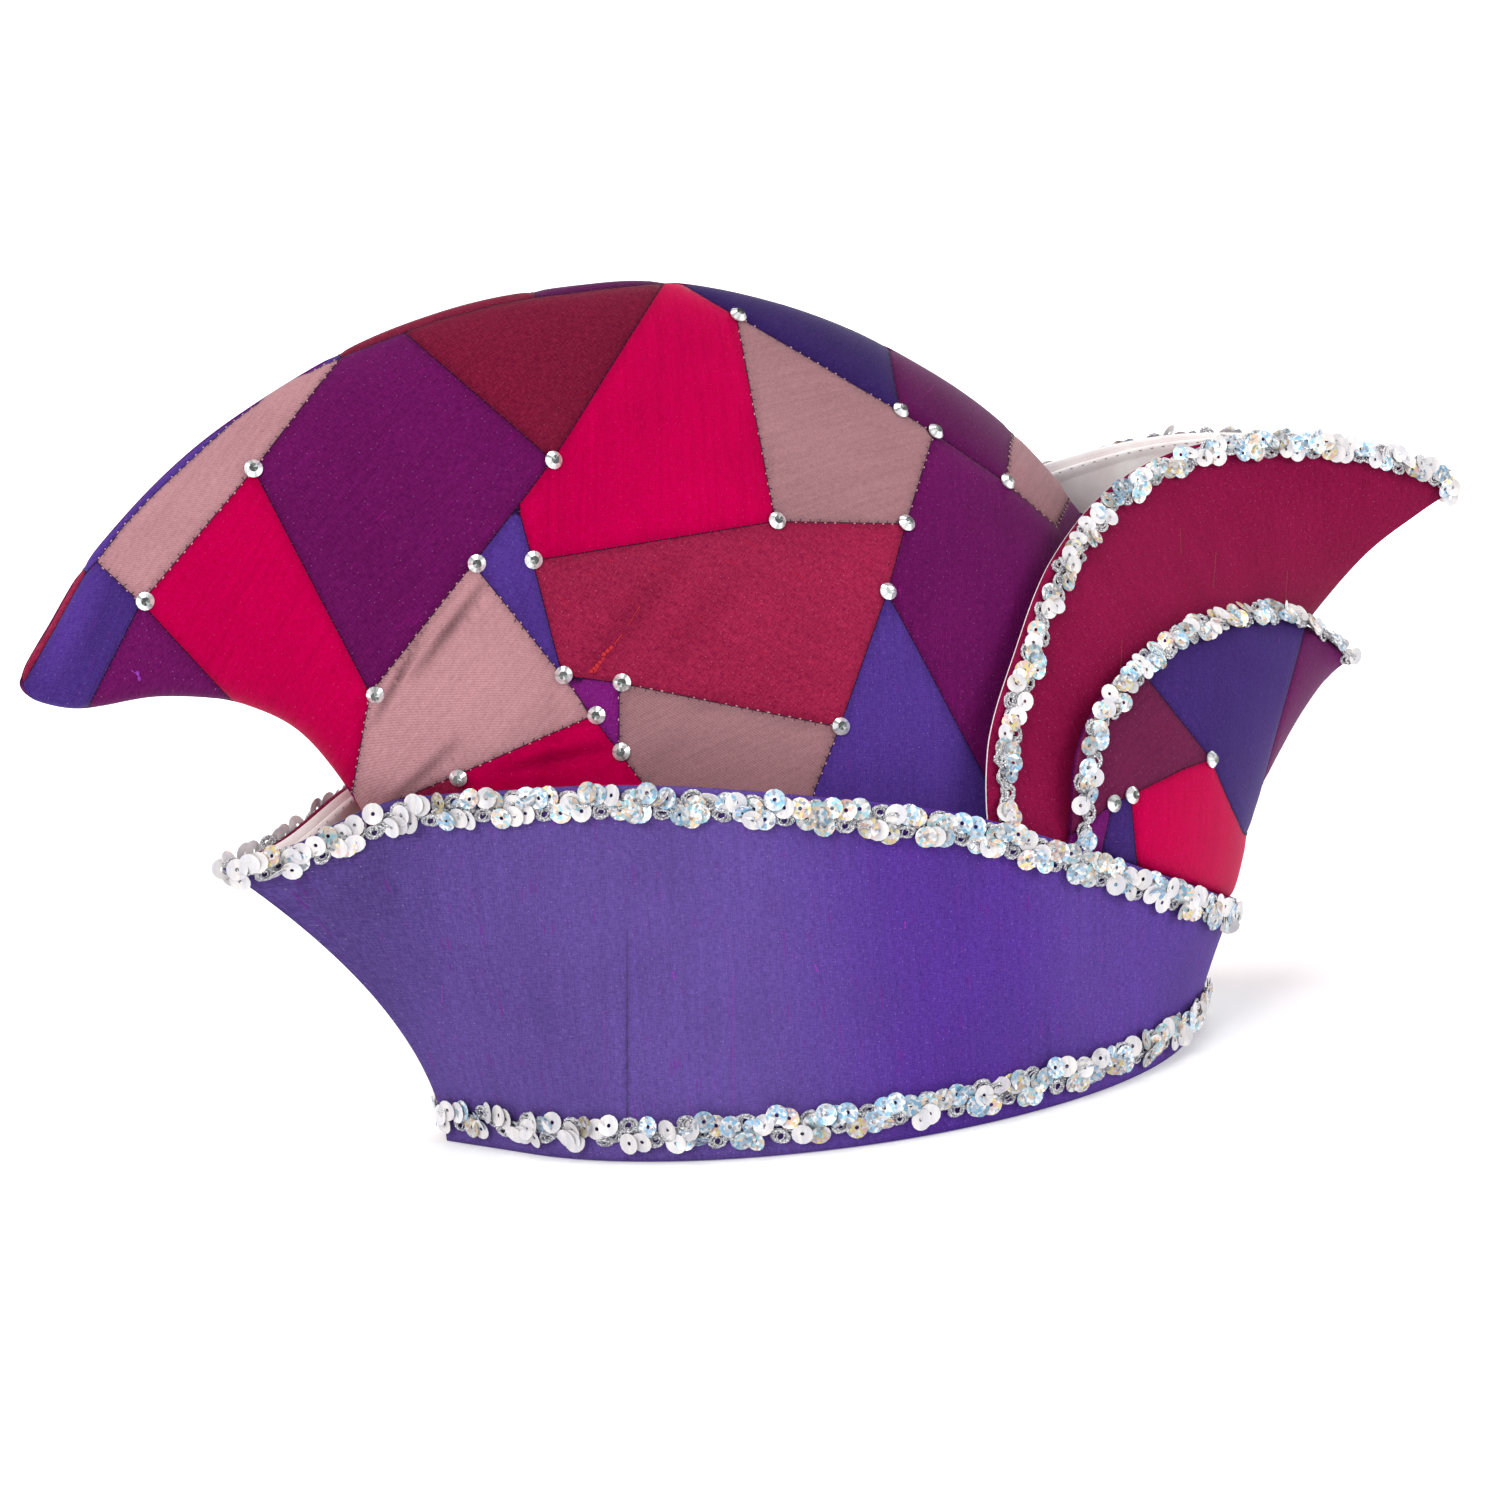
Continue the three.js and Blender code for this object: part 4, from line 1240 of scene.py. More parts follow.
# %% Small fin panels
small_fin_right = patchwork(
    "small_fin", RIGHT, PictureChart(), NEAR_FIN, NEAR_FIN_PATCHES, turn=NEAR_FIN_TURN)
small_fin_left = patchwork("small_fin", LEFT, SideChart(), FAR_FIN, FAR_FIN_PATCHES)

# %% [markdown]
# ## Plain panels: band and tall fins
# The band is violet on the wearer's right and red on the left, and both tall fins are red.
# They are cut in one piece, so only a ripple, a few slub creases and the weave give them life.

# %% Band and tall fin panels
PLAIN_SHEETS = {
    # surface: grid counts, wall and ripple in millimetres, whether the lining is turned over the rim
    "band": ((210, 44), BAND_WALL, 0.3, False),
    "tall_fin": ((84, 130), FIN_WALL, 0.25, True),
}
PLAIN_RIPPLE_SIZE = RIPPLE_SIZE * 1.4
PLAIN_GRAIN = 90.0
BAND_LENGTH = 330.0
# A seam distance so long that the finish shows no seam
NO_SEAM = 50.0
# Towards its edge the wall of the tall fin gets thinner by this share
FIN_EDGE_TAPER = 0.6
TAPER_START = 0.9
TAPER_RUN = 0.08
# How the cloth's tone and second colour change towards the front. The tone is painted light and shade,
# darker at the rear point of the band and towards the front, where the cloth turns from the lamps.
# Columns: x in millimetres, tone, shot
SHADES = {
    "band": np.array((
        (-170, 0.74, 0.0), (-128, 0.72, 0.0), (-114, 0.88, 0.05), (-88, 0.94, 0.0), (-60, 1.0, 0.05),
        (-46, 1.0, 0.15), (-32, 0.97, 0.5), (-16, 0.93, 0.9), (0, 0.9, 1.0), (19, 0.92, 0.9), (38, 1.0, 0.55),
        (60, 1.0, 0.6), (83, 0.92, 0.7), (125, 0.8, 0.7),
    )),
    "tall_fin": np.array(((0, 0.95, 0.0), (60, 1.0, 0.0), (130, 1.0, 0.0), (214, 0.9, 0.0))),
}


def plain_panel(surface, side, silk, creases=()):
    """One plain panel and its area."""
    counts, wall, ripple, lined_rim = PLAIN_SHEETS[surface]
    bm, along_share, _ = cloth_grid(surface, side, counts)
    points = places_of(bm)
    chart = PictureChart()
    heights = ripple * ripples(points, PLAIN_RIPPLE_SIZE, side + 5)
    crease_lift, shades = crease_relief(chart.places(points), chart.unit, creases)
    lift(bm, heights + crease_lift)
    set_values(bm.verts, "seam", np.full(len(points), NO_SEAM))
    # Painted shade in the creases
    set_values(bm.verts, "painted_shading", shades)
    middles = np.array([face.calc_center_median().x for face in bm.faces]) / MM
    shades_x, shades_tone, shades_shot = SHADES[surface].T
    set_values(bm.faces, "tone", np.interp(middles, shades_x, shades_tone))
    set_values(bm.verts, "shot", np.interp(points[:, 0] / MM, shades_x, shades_shot))
    if surface == "band":
        turn = np.arctan2(np.abs(points[:, 1]), -points[:, 0])
        flat_places = np.stack((turn / np.pi * BAND_LENGTH, points[:, 2] / MM), -1)
        thickness = wall
    else:
        flat_places = unfolded(points)
        thickness = wall * (1 - FIN_EDGE_TAPER * np.clip((along_share - TAPER_START) / TAPER_RUN, 0, 1))
    set_weave(bm, flat_places, np.full(len(bm.faces), PLAIN_GRAIN))
    names = (f"{surface}_silk", surface, f"{silk}_silk")
    return panel_piece(bm, side, names, [SILK[silk], LINING], thickness, 1, int(lined_rim))


BAND_CREASES = (
    ((627, 940), (627, 1190), 0.7, 0.22, 0.3),
    ((603, 1060), (603, 1180), 0.7, 0.12, 0.15),
    ((1046, 985), (1052, 1110), 0.8, 0.16, 0.12),
)
band_right = plain_panel("band", RIGHT, "violet", BAND_CREASES)
band_left = plain_panel("band", LEFT, "red")
tall_fin_right = plain_panel("tall_fin", RIGHT, "red")
tall_fin_left = plain_panel("tall_fin", LEFT, "red")

# %% [markdown]
# ## Linings with a facing
# Inside the rear beak and the tall fins a white lining shows. A facing strip lies along its edge, a little
# proud of the lining below it, and is held by a row of stitches. The strip is a step in the sheet's height.

# %% Lining panels
FACING_WIDTH = 6.0
FACING_PROUD = 0.45
FACING_STEP_WIDTH = 0.8
LINING_RIM_KEEP = 0.35
LINING_RIPPLE = 0.15
LINING_RIPPLE_SIZE = 14
LINING_GRAIN = 20.0
EDGE_STEPS = 40


def edge_distances(surface, along_share, up_share, edge):
    """The distance in millimetres of surface places to one edge, along the surface."""
    point_at, _ = SURFACES[surface]
    steps = np.linspace(0, 1, EDGE_STEPS)[:, None]
    every_step = (EDGE_STEPS, len(along_share))
    if edge == "up":
        track = point_at(np.broadcast_to(along_share, every_step), between(up_share, 1, steps))
    else:
        track = point_at(between(along_share, 1, steps), np.broadcast_to(up_share, every_step))
    return np.linalg.norm(np.diff(track, axis=0), axis=-1).sum(axis=0)


def lining_panel(surface, side, counts, along, up, edge, wall):
    """A lining inside a wall, with a facing along its up or along edge, and its area."""
    bm, along_share, up_share = cloth_grid(surface, side, counts, along, up, depth=wall + GAP)
    distances = edge_distances(surface, along_share, up_share, edge)
    points = places_of(bm)
    step = np.clip((distances - FACING_WIDTH) / FACING_STEP_WIDTH + 0.5, 0, 1)
    heights = -FACING_PROUD * (1 - step * step * (3 - 2 * step))
    lift(bm, heights + LINING_RIPPLE * ripples(points, LINING_RIPPLE_SIZE, side + 9))
    set_weave(bm, unfolded(points), np.full(len(bm.faces), LINING_GRAIN))
    names = (f"{surface}_cotton", f"{surface}_lining", "white_lining")
    return panel_piece(bm, side, names, [LINING], LINING_RIM_KEEP, 0, 0)


LININGS = {
    # surface: flat size, grid counts, along, up, edge of the facing, wall in front of it. The band's lining
    # ends below the edge, because on the flared wall it would show above it
    "band": ((0.16, 0.085), (90, 40), (2 / 22, 0.5), (0.3, 0.98), "up", BAND_WALL),
    "tall_fin": ((0.09, 0.2), (60, 110), (0.45, 0.985), (0.15, 0.85), "along", FIN_WALL),
}
for surface, (flat_size, *lining) in LININGS.items():
    for side in (RIGHT, LEFT):
        lining_panel(surface, side, *lining)

# %% [markdown]
# ## Many small things
# Stitches, sequins, loops and stones repeat hundreds of times. One of each is modelled with bmesh, and its
# copies are placed by matrices and joined into one mesh, so the scene stays light.

# %% Copies of a model
def model_arrays(bm):
    """The vertices, faces and material numbers of a small model, as plain lists."""
    bm.verts.index_update()
    vertices = np.array([vertex.co for vertex in bm.verts])
    faces = [[vertex.index for vertex in face.verts] for face in bm.faces]
    numbers = [face.material_index for face in bm.faces]
    bm.free()
    return vertices, faces, numbers


def copies(name, model, frames, materials, offsets=None, smooth=True, tones=None):
    """One mesh of many copies of a model. A frame holds a place and three axes, each with its scale."""
    vertices, faces, numbers = model
    placed = [origin + vertices @ axes_rows for origin, axes_rows in frames]
    mesh = bpy.data.meshes.new(name)
    count = len(vertices)
    joined = [[index + copy * count for index in face] for copy in range(len(frames)) for face in faces]
    mesh.from_pydata(np.concatenate(placed).tolist(), [], joined)
    shifts = offsets if offsets is not None else [0] * len(frames)
    picks = [number + shift for shift in shifts for number in numbers]
    for material in materials:
        mesh.materials.append(material)
    mesh.polygons.foreach_set("material_index", picks)
    if tones is not None:
        mesh.attributes.new("tone", "FLOAT", "FACE").data.foreach_set("value", np.repeat(tones, len(faces)))
    mesh.update()
    if smooth:
        mesh.shade_smooth()
    return link_object(name, mesh)


def unit(vectors):
    return vectors / np.maximum(np.linalg.norm(vectors, axis=-1, keepdims=True), 1e-12)


def at_runs(wanted, run, vectors):
    """Vectors that are known along a run, at other distances of it."""
    return np.stack([np.interp(wanted, run, vectors[:, k]) for k in range(3)], -1)


def resample(points, normals, pitch, start=0.0):
    """Places at an even pitch along a line, with its direction and normal there."""
    steps = np.linalg.norm(np.diff(points, axis=0), axis=1)
    keep = np.concatenate(([True], steps > 1e-7))
    points = points[keep]
    normals = normals[keep]
    run = np.concatenate(([0], np.cumsum(np.linalg.norm(np.diff(points, axis=0), axis=1))))
    wanted = np.arange(start, run[-1], pitch)
    at = at_runs(wanted, run, points)
    facing = unit(at_runs(wanted, run, normals))
    reach = 0.6 * pitch
    direction = at_runs(wanted + reach, run, points) - at_runs(wanted - reach, run, points)
    direction -= np.sum(direction * facing, axis=1, keepdims=True) * facing
    return at, unit(direction), facing


# %% [markdown]
# ## Hand stitches
# The patches are whipped together by hand, and on the pale cloth the dark thread shows as small slanted
# ticks. A stitch is a short spindle: a rounded bar that goes down into the cloth at both ends.

# %% Thread finish and stitches
TWIST_SCALE = 2600


def thread_finish(name, tone, shine):
    material, shader, start = new_finish(name)
    twist = start.place().stretched(TWIST_SCALE, TWIST_SCALE).grain(2.0, "3D")
    twist.mix(tone, scaled(tone, 1.7, 0.01)).into(shader, "Base Color")
    (shine + 0.25 * twist).into(shader, "Roughness")
    fix(shader, {"Specular IOR Level": 0.4})
    return material


THREADS = [
    thread_finish("dark_thread", colour(34, 10, 36), 0.45),
    thread_finish("pale_thread", dye(196, 148, 152), 0.45),
    thread_finish("grey_thread", colour(120, 108, 108), 0.6),
    thread_finish("red_slub", dye(184, 4, 26), 0.5),
    thread_finish("magenta_slub", dye(138, 28, 168), 0.4),
    thread_finish("wine_slub", dye(118, 4, 30), 0.4),
]
DARK, PALE, GREY, RED, MAGENTA, WINE = range(len(THREADS))
SPINDLE_SIDES = 6
SPINDLE_END_GIRTH = 0.35
SPINDLE_END_DROP = 0.55


def spindle():
    """A bar one unit long and one unit thick, with tapered ends that point down."""
    bm = bmesh.new()
    bmesh.ops.create_cone(bm, segments=SPINDLE_SIDES, radius1=0.5, radius2=0.5, depth=1.0, cap_ends=True)
    bmesh.ops.rotate(bm, verts=bm.verts, cent=(0, 0, 0), matrix=Matrix.Rotation(math.pi / 2, 3, "Y"))
    long_edges = [edge for edge in bm.edges if abs(edge.verts[0].co.x - edge.verts[1].co.x) > 0.5]
    bmesh.ops.subdivide_edges(bm, edges=long_edges, cuts=2)
    for vertex in bm.verts:
        if abs(vertex.co.x) * 2 > 0.9:
            vertex.co.y *= SPINDLE_END_GIRTH
            vertex.co.z = vertex.co.z * SPINDLE_END_GIRTH - SPINDLE_END_DROP
    return model_arrays(bm)


SPINDLE = spindle()

# %% Stitches along the patch seams
STITCH_PITCH = 2.8 * MM
STITCH_LENGTH = 1.1 * MM
STITCH_THICKNESS = 0.24 * MM
STITCH_LIFT = 0.12 * MM
STITCH_SLANT = 0.35
# Between two dark silks a stitch shows this share of its size
COVERED_SHARE = 0.72
# Below this height the band hides the crown and no stitch is made
STITCH_LOWEST = 25 * MM
# On pale cloth a dark stitch reaches out from the seam by this much, with a pale nub of cloth beside it
STITCH_REACH = 0.38 * MM
NUB_LENGTH = 0.6 * MM
NUB_THICKNESS = 0.34 * MM
NUB_LIFT = 0.1 * MM
NUB_BACK = 0.15 * MM
NUB_SHARE = 0.75
# How much the sizes of hand stitches vary
SLANT_SCATTER = 0.2
LENGTH_SCATTER = 0.2
REACH_SCATTER = 0.3
NUB_SCATTER = 0.25
STITCH_SEEDS = {
    "crown_silk_right": 11, "crown_silk_left": 12, "small_fin_silk_right": 13, "small_fin_silk_left": 14,
}


def frame_of(origin, first, second, third):
    """A place with three axes as rows, which already hold their scale."""
    return origin, np.array((first, second, third))


def link_frame(first, second, out, overlap, width, thickness):
    """The frame of a length of thread between two places, which overlaps the next one."""
    along = (second - first) * overlap
    side_way = unit(np.cross(out, along)) * width * MM
    return frame_of((first + second) / 2, along, side_way, out * thickness * MM)


def stitch_frame(draw, origin, forward, across, outward, pale):
    """A dark stitch that leans over a seam."""
    share = 1.0 if pale else COVERED_SHARE
    lean = unit(across + (STITCH_SLANT + SLANT_SCATTER * draw.normal()) * forward)
    length = STITCH_LENGTH * share * (1 + LENGTH_SCATTER * draw.normal())
    thick = STITCH_THICKNESS * share
    reach = STITCH_REACH * pale * (1 + REACH_SCATTER * draw.normal())
    place = origin + STITCH_LIFT * outward + reach * across
    return frame_of(place, lean * length, np.cross(outward, lean) * thick, outward * thick)


def nub_frame(draw, origin, forward, across, outward):
    """A nub of pale cloth half-way to the next stitch."""
    place = origin + NUB_LIFT * outward - NUB_BACK * across + 0.5 * STITCH_PITCH * forward
    length = NUB_LENGTH * (1 + NUB_SCATTER * draw.normal())
    return frame_of(place, forward * length, across * NUB_THICKNESS, outward * NUB_THICKNESS)


for panel_name, lines in stitch_runs.items():
    draw = np.random.default_rng(STITCH_SEEDS[panel_name])
    frames = []
    picks = []
    for points, normals, ways, first_silk, second_silk in lines:
        if len(points) < 3:
            continue
        pale = "mauve" in (first_silk, second_silk)
        ways_to_pale = ways if first_silk == "mauve" else -ways
        at, direction, facing = resample(points, normals, STITCH_PITCH, STITCH_PITCH / 2)
        _, _, pale_ways = resample(points, ways_to_pale, STITCH_PITCH, STITCH_PITCH / 2)
        for origin, forward, outward, pale_way in zip(at, direction, facing, pale_ways):
            if origin[2] < STITCH_LOWEST:
                continue
            across = np.cross(outward, forward)
            across = across if across @ pale_way > 0 else -across
            frames.append(stitch_frame(draw, origin, forward, across, outward, pale))
            picks.append(DARK)
            if pale and draw.random() < NUB_SHARE:
                frames.append(nub_frame(draw, origin, forward, across, outward))
                picks.append(PALE)
    stitches = copies(panel_name.replace("silk", "stitches"), SPINDLE, frames, THREADS, picks)
    place_piece(stitches, [])
    print(stitches.name, "stitches:", len(frames))

# %% [markdown]
# ## Thick threads in the silk
# Here and there a thick thread, a slub, lies in the weave and shows in another colour. The picture gives the
# two pixels between which it runs. A ray from the camera through a pixel meets the panel, so the thread lies
# on the cloth from every side.

# %% Slub threads
SLUB_STEP = 1.2 * MM
SLUB_OVERLAP = 1.4
SLUBS = {
    # panel and its slot: thread, first and last pixel, thickness in millimetres
    ("crown_silk_right", "patchwork_silk"): (
        (RED, (590, 673), (601, 661), 1.0), (RED, (594, 673), (604, 657), 0.6),
        (RED, (602, 656), (613, 646), 1.1), (RED, (614, 645), (622, 634), 0.3),
        (RED, (628, 625), (640, 606), 0.22), (MAGENTA, (137, 671), (140, 681), 0.8),
        (MAGENTA, (131, 670), (137, 674), 0.25)),
    ("band_silk_right", "violet_silk"): (
        (MAGENTA, (815, 964), (817, 972), 0.5), (MAGENTA, (905, 921), (905, 929), 0.4),
        (MAGENTA, (1010, 1068), (1011, 1082), 0.24), (MAGENTA, (442, 985), (442, 1003), 0.22),
        (MAGENTA, (673, 971), (674, 979), 0.45), (MAGENTA, (733, 975), (733, 1105), 0.16),
        (MAGENTA, (604, 1010), (604, 1090), 0.14), (MAGENTA, (1102, 950), (1102, 962), 0.22),
        (DARK, (627, 930), (627, 1120), 0.2)),
    ("tall_fin_silk_right", "red_silk"): (
        (WINE, (1216, 551), (1213, 588), 0.35), (WINE, (1287, 571), (1285, 602), 0.35),
        (WINE, (1180, 528), (1181, 554), 0.28), (WINE, (1122, 640), (1121, 668), 0.25)),
}


def ray_spot(tree, pixel):
    """The place and the outward normal of a panel that the picture shows at a pixel."""
    spot, normal, _, _ = tree.ray_cast(Vector(camera_place), Vector(pixel_ray(pixel)))
    return np.array(spot), np.array(normal)


for (panel_name, slot), slubs in SLUBS.items():
    panel_mesh = bpy.data.objects[panel_name].data
    tree = BVHTree.FromPolygons([vertex.co for vertex in panel_mesh.vertices],
                                [face.vertices for face in panel_mesh.polygons])
    frames = []
    picks = []
    for thread, first, last, thickness in slubs:
        steps = max(2, round(math.dist(first, last) / PIXELS_PER_METRE / SLUB_STEP))
        spots = [ray_spot(tree, pixel) for pixel in np.linspace(first, last, steps + 1)]
        for (start_place, normal), (end_place, _) in zip(spots, spots[1:]):
            frames.append(link_frame(start_place, end_place, normal, SLUB_OVERLAP, thickness, thickness))
            picks.append(thread)
    slub_piece = copies(panel_name.replace("silk", "slubs"), SPINDLE, frames, THREADS, picks)
    place_piece(slub_piece, [])
    print(slub_piece.name, "lengths of thread:", len(frames))

# %% [markdown]
# ## Sequin braid: where it runs
# Each trim lies on the outside of a panel, a set distance below its edge. The distance is measured
# on the surface, and the path is then divided evenly, so the sequins keep one spacing around curves.

# %% Trim paths
TRIM_WIDTH = 7.5
EDGE_TRIM_INSET = 1.0
SMALL_TRIM_INSET = -0.4
RIM_TRIM_INSET = 4.0
# Towards the rear point of the band and the tip of a fin, the braid closes in on the edge over a short run
BEAK_MIDDLES = {RIGHT: 2.4, LEFT: 0.6}
BEAK_RUN = 45.0
TIP_MIDDLE = 1.8
TIP_RUN = 25.0
# At the tip of a fin the braid turns and covers the short end down to this share of the panel
TIP_END = 0.15
TIP_UP = 0.99
PATH_STEPS = 500
TIP_STEPS = 60
DEPTH_STEPS = 160
TRIM_TRACKS = {
    # name: surface, how a step along and a step in from the edge become fractions, inset, first step
    "band_top_trim": ("band", lambda step, deep: (step, 1 - 0.4 * deep), EDGE_TRIM_INSET, 0.0),
    "band_rim_trim": ("band", lambda step, deep: (step, 0.55 * deep), RIM_TRIM_INSET, 0.0),
    "tall_fin_trim": ("tall_fin", lambda step, deep: (1 - 0.5 * deep, step), EDGE_TRIM_INSET, 0.15),
    "small_fin_trim": ("small_fin", lambda step, deep: (1 - 0.5 * deep, step), SMALL_TRIM_INSET, 0.17),
}


def run_along(points):
    """The distance from the first of a row of points to each of them."""
    steps = np.linalg.norm(np.diff(points, axis=-2), axis=-1)
    return np.concatenate((np.zeros(steps.shape[:-1] + (1,)), np.cumsum(steps, axis=-1)), -1)


def edge_path(surface, fractions, steps, depths):
    """The fractions of the places that lie some millimetres in from an edge, measured on the surface."""
    inwards = np.linspace(0, 1, DEPTH_STEPS)
    runs = run_along(SURFACES[surface][0](*fractions(*np.meshgrid(steps, inwards, indexing="ij"))))
    share = np.array([np.interp(depth, row, inwards) for depth, row in zip(depths, runs)])
    return fractions(steps, share)


def trim_path(trim, side):
    """Places and outward normals along the middle of a trim, in metres."""
    surface, fractions, inset, first = TRIM_TRACKS[trim]
    point_at, _ = SURFACES[surface]
    steps = np.linspace(first, 1, PATH_STEPS)
    middle = inset + TRIM_WIDTH / 2
    run = run_along(point_at(*fractions(steps, np.zeros(PATH_STEPS))))
    depths = np.full(PATH_STEPS, middle)
    if trim == "band_top_trim":
        depths = between(BEAK_MIDDLES[side], middle, np.clip(run / BEAK_RUN, 0, 1))
    elif surface != "band":
        depths = between(TIP_MIDDLE, middle, np.clip((run[-1] - run) / TIP_RUN, 0, 1))
    along, up = edge_path(surface, fractions, steps, depths)
    if surface != "band":
        along = np.concatenate((along, np.linspace(along[-1], TIP_END, TIP_STEPS)))
        up = np.minimum(np.concatenate((up, np.full(TIP_STEPS, TIP_UP))), TIP_UP)
    return spots_on(surface, side, along, up)


# %% [markdown]
# ## Stitches of the facings
# A row of small grey stitches holds each facing strip to the lining below it. The row runs beside the edge
# as the trims do, only on the inside of the wall.

# %% Facing stitches
FACING_PITCH = 3.4 * MM
FACING_STITCH_LENGTH = 1.2 * MM
FACING_STITCH_THICKNESS = 0.32 * MM
FACING_ROW = 3.4
FACING_STEPS = 300
FACING_TRACKS = {
    # surface: which trim shares its edge, first and last step, wall in front of the lining
    "band": ("band_top_trim", 0.1, 0.49, BAND_WALL),
    "tall_fin": ("tall_fin_trim", 0.17, 0.83, FIN_WALL),
}


def facing_frames(surface, side, trim, first, last, wall):
    steps = np.linspace(first, last, FACING_STEPS)
    along, up = edge_path(surface, TRIM_TRACKS[trim][1], steps, np.full(FACING_STEPS, FACING_ROW))
    depth = wall + GAP + FACING_PROUD + LINING_RIM_KEEP
    points, normals = spots_on(surface, side, along, up, depth)
    thick = FACING_STITCH_THICKNESS
    return [frame_of(place, way * FACING_STITCH_LENGTH, np.cross(inwards, way) * thick, inwards * thick)
            for place, way, inwards in zip(*resample(points, -normals, FACING_PITCH))]


for surface, track in FACING_TRACKS.items():
    for side in (RIGHT, LEFT):
        frames = facing_frames(surface, side, *track)
        stitches = copies(f"{surface}_facing_stitches_{SIDE_NAMES[side]}", SPINDLE, frames, [THREADS[GREY]])
        place_piece(stitches, [])
        print(stitches.name, "stitches:", len(frames))

# %% [markdown]
# ## Silver loops
# Under the sequins runs a crocheted silver yarn that swings from side to side in small ovals.
# An oval is three crossed rings, each a circle spun around its centre, and a cord joins the ovals.

# %% Silver yarn finish
STRAND_SCALE = 1500
YARN_FLECK_SCALE = 1700


def yarn_finish():
    material, shader, start = new_finish("silver_yarn")
    place = start.place()
    strand_cells = {"Vector": place, "Scale": STRAND_SCALE}
    strands = start.node("ShaderNodeTexVoronoi", {"feature": "DISTANCE_TO_EDGE"}, strand_cells)
    fleck_cells = {"Vector": place, "Scale": YARN_FLECK_SCALE}
    flecks = start.node("ShaderNodeTexVoronoi", {}, fleck_cells, output=1).part(0)
    # Painted shade: the gaps between the strands are darker, and the white flecks are painted glints of the
    # metallic yarn
    gaps = 1 - strands.rise(0.02, 0.1)
    bright = flecks.rise(0.1, 0.6).mix(colour(186, 186, 196), colour(255, 255, 255))
    (gaps * 0.75).mix(bright, colour(80, 74, 94)).into(shader, "Base Color")
    (0.16 - 0.1 * gaps).into(shader, "Metallic")
    (0.24 + 0.3 * flecks).into(shader, "Roughness")
    strands.rise(0.0, 0.3).bump(0.9, 0.0004).into(shader, "Normal")
    return material


SILVER_YARN = yarn_finish()


def ring(major, minor, steps, sides):
    """A ring around Z, spun from a small circle."""
    bm = bmesh.new()
    made = bmesh.ops.create_circle(bm, segments=sides, radius=minor)
    bmesh.ops.rotate(bm, verts=made["verts"], cent=(0, 0, 0), matrix=Matrix.Rotation(math.pi / 2, 3, "X"))
    bmesh.ops.translate(bm, verts=made["verts"], vec=(major, 0, 0))
    bmesh.ops.spin(bm, geom=bm.verts[:] + bm.edges[:], cent=(0, 0, 0), axis=(0, 0, 1), angle=2 * math.pi,
                   steps=steps, use_merge=True)
    bmesh.ops.remove_doubles(bm, verts=bm.verts, dist=1e-6)
    bmesh.ops.recalc_face_normals(bm, faces=bm.faces)
    return bm


LOOP_STEPS = 10
LOOP_SIDES = 4
LOOP_RADIUS = 1.75
YARN_RADIUS = 0.42
LOOP_MODEL = model_arrays(ring(LOOP_RADIUS, YARN_RADIUS, LOOP_STEPS, LOOP_SIDES))
print("faces of a loop:", len(LOOP_MODEL[1]))

# %% [markdown]
# ## Sequins
# A sequin is a thin dished disc with a hole. One is made from a capped circle: inset gives it a
# shoulder and then the hole, and solidify its thickness. Some are pearl white, and most are silver
# foil with flakes that split the light, so every flake gets a colour of its own from a cell pattern.

# %% Sequin finishes and model
SHIMMER_SCALE = 420
FLAKE_SCALE = 1150


def pearl_finish():
    material, shader, start = new_finish("pearl_sequin")
    shimmer = start.place().stretched(SHIMMER_SCALE, SHIMMER_SCALE).grain(2.0, "3D")
    pearl = shimmer.rise(0.35, 0.65).mix(colour(228, 223, 220), colour(206, 204, 210))
    start.stored("tone").mix(BLACK, pearl).into(shader, "Base Color")
    (0.2 + 0.2 * shimmer).into(shader, "Roughness")
    fix(shader, {"Specular IOR Level": 0.4, "Coat Weight": 0.25, "Coat Roughness": 0.12})
    return material


def foil_finish(name, tints):
    """Silver foil with flakes. The tints are two colours that some of the flakes take."""
    material, shader, start = new_finish(name)
    flakes = {"Vector": start.place(), "Scale": FLAKE_SCALE}
    cells = start.node("ShaderNodeTexVoronoi", {}, flakes, output=1)
    pick = cells.part(0)
    level = cells.part(1)
    silver = level.rise(0.1, 0.9).mix(colour(156, 161, 170), colour(226, 227, 231))
    first = (pick > 0.45).mix(silver, tints[0])
    second = (pick > 0.72).mix(first, tints[1])
    white = (cells.part(2) > 0.78).mix(second, colour(250, 250, 250))
    start.stored("tone").mix(BLACK, white).into(shader, "Base Color")
    (0.2 + 0.25 * (pick > 0.5)).into(shader, "Metallic")
    (0.2 + 0.3 * level).into(shader, "Roughness")
    fix(shader, {"Specular IOR Level": 0.5, "Coat Weight": 0.25, "Coat Roughness": 0.08})
    return material


FOILS = [
    foil_finish("foil_blue", (colour(140, 194, 228), colour(186, 214, 238))),
    foil_finish("foil_rose", (colour(234, 192, 182), colour(240, 222, 156))),
    foil_finish("foil_mixed", (colour(164, 214, 226), colour(238, 208, 180))),
]
FOIL_SHARES = (0.42, 0.2, 0.38)
SEQUIN_FINISHES = [pearl_finish(), *FOILS]
SEQUIN_RADIUS = 2.85
SEQUIN_SIDES = 14
SHOULDER_SHARE = 0.42
HOLE_RADIUS = 0.55
SEQUIN_THICKNESS = 0.14
SEQUIN_DISH = 0.3


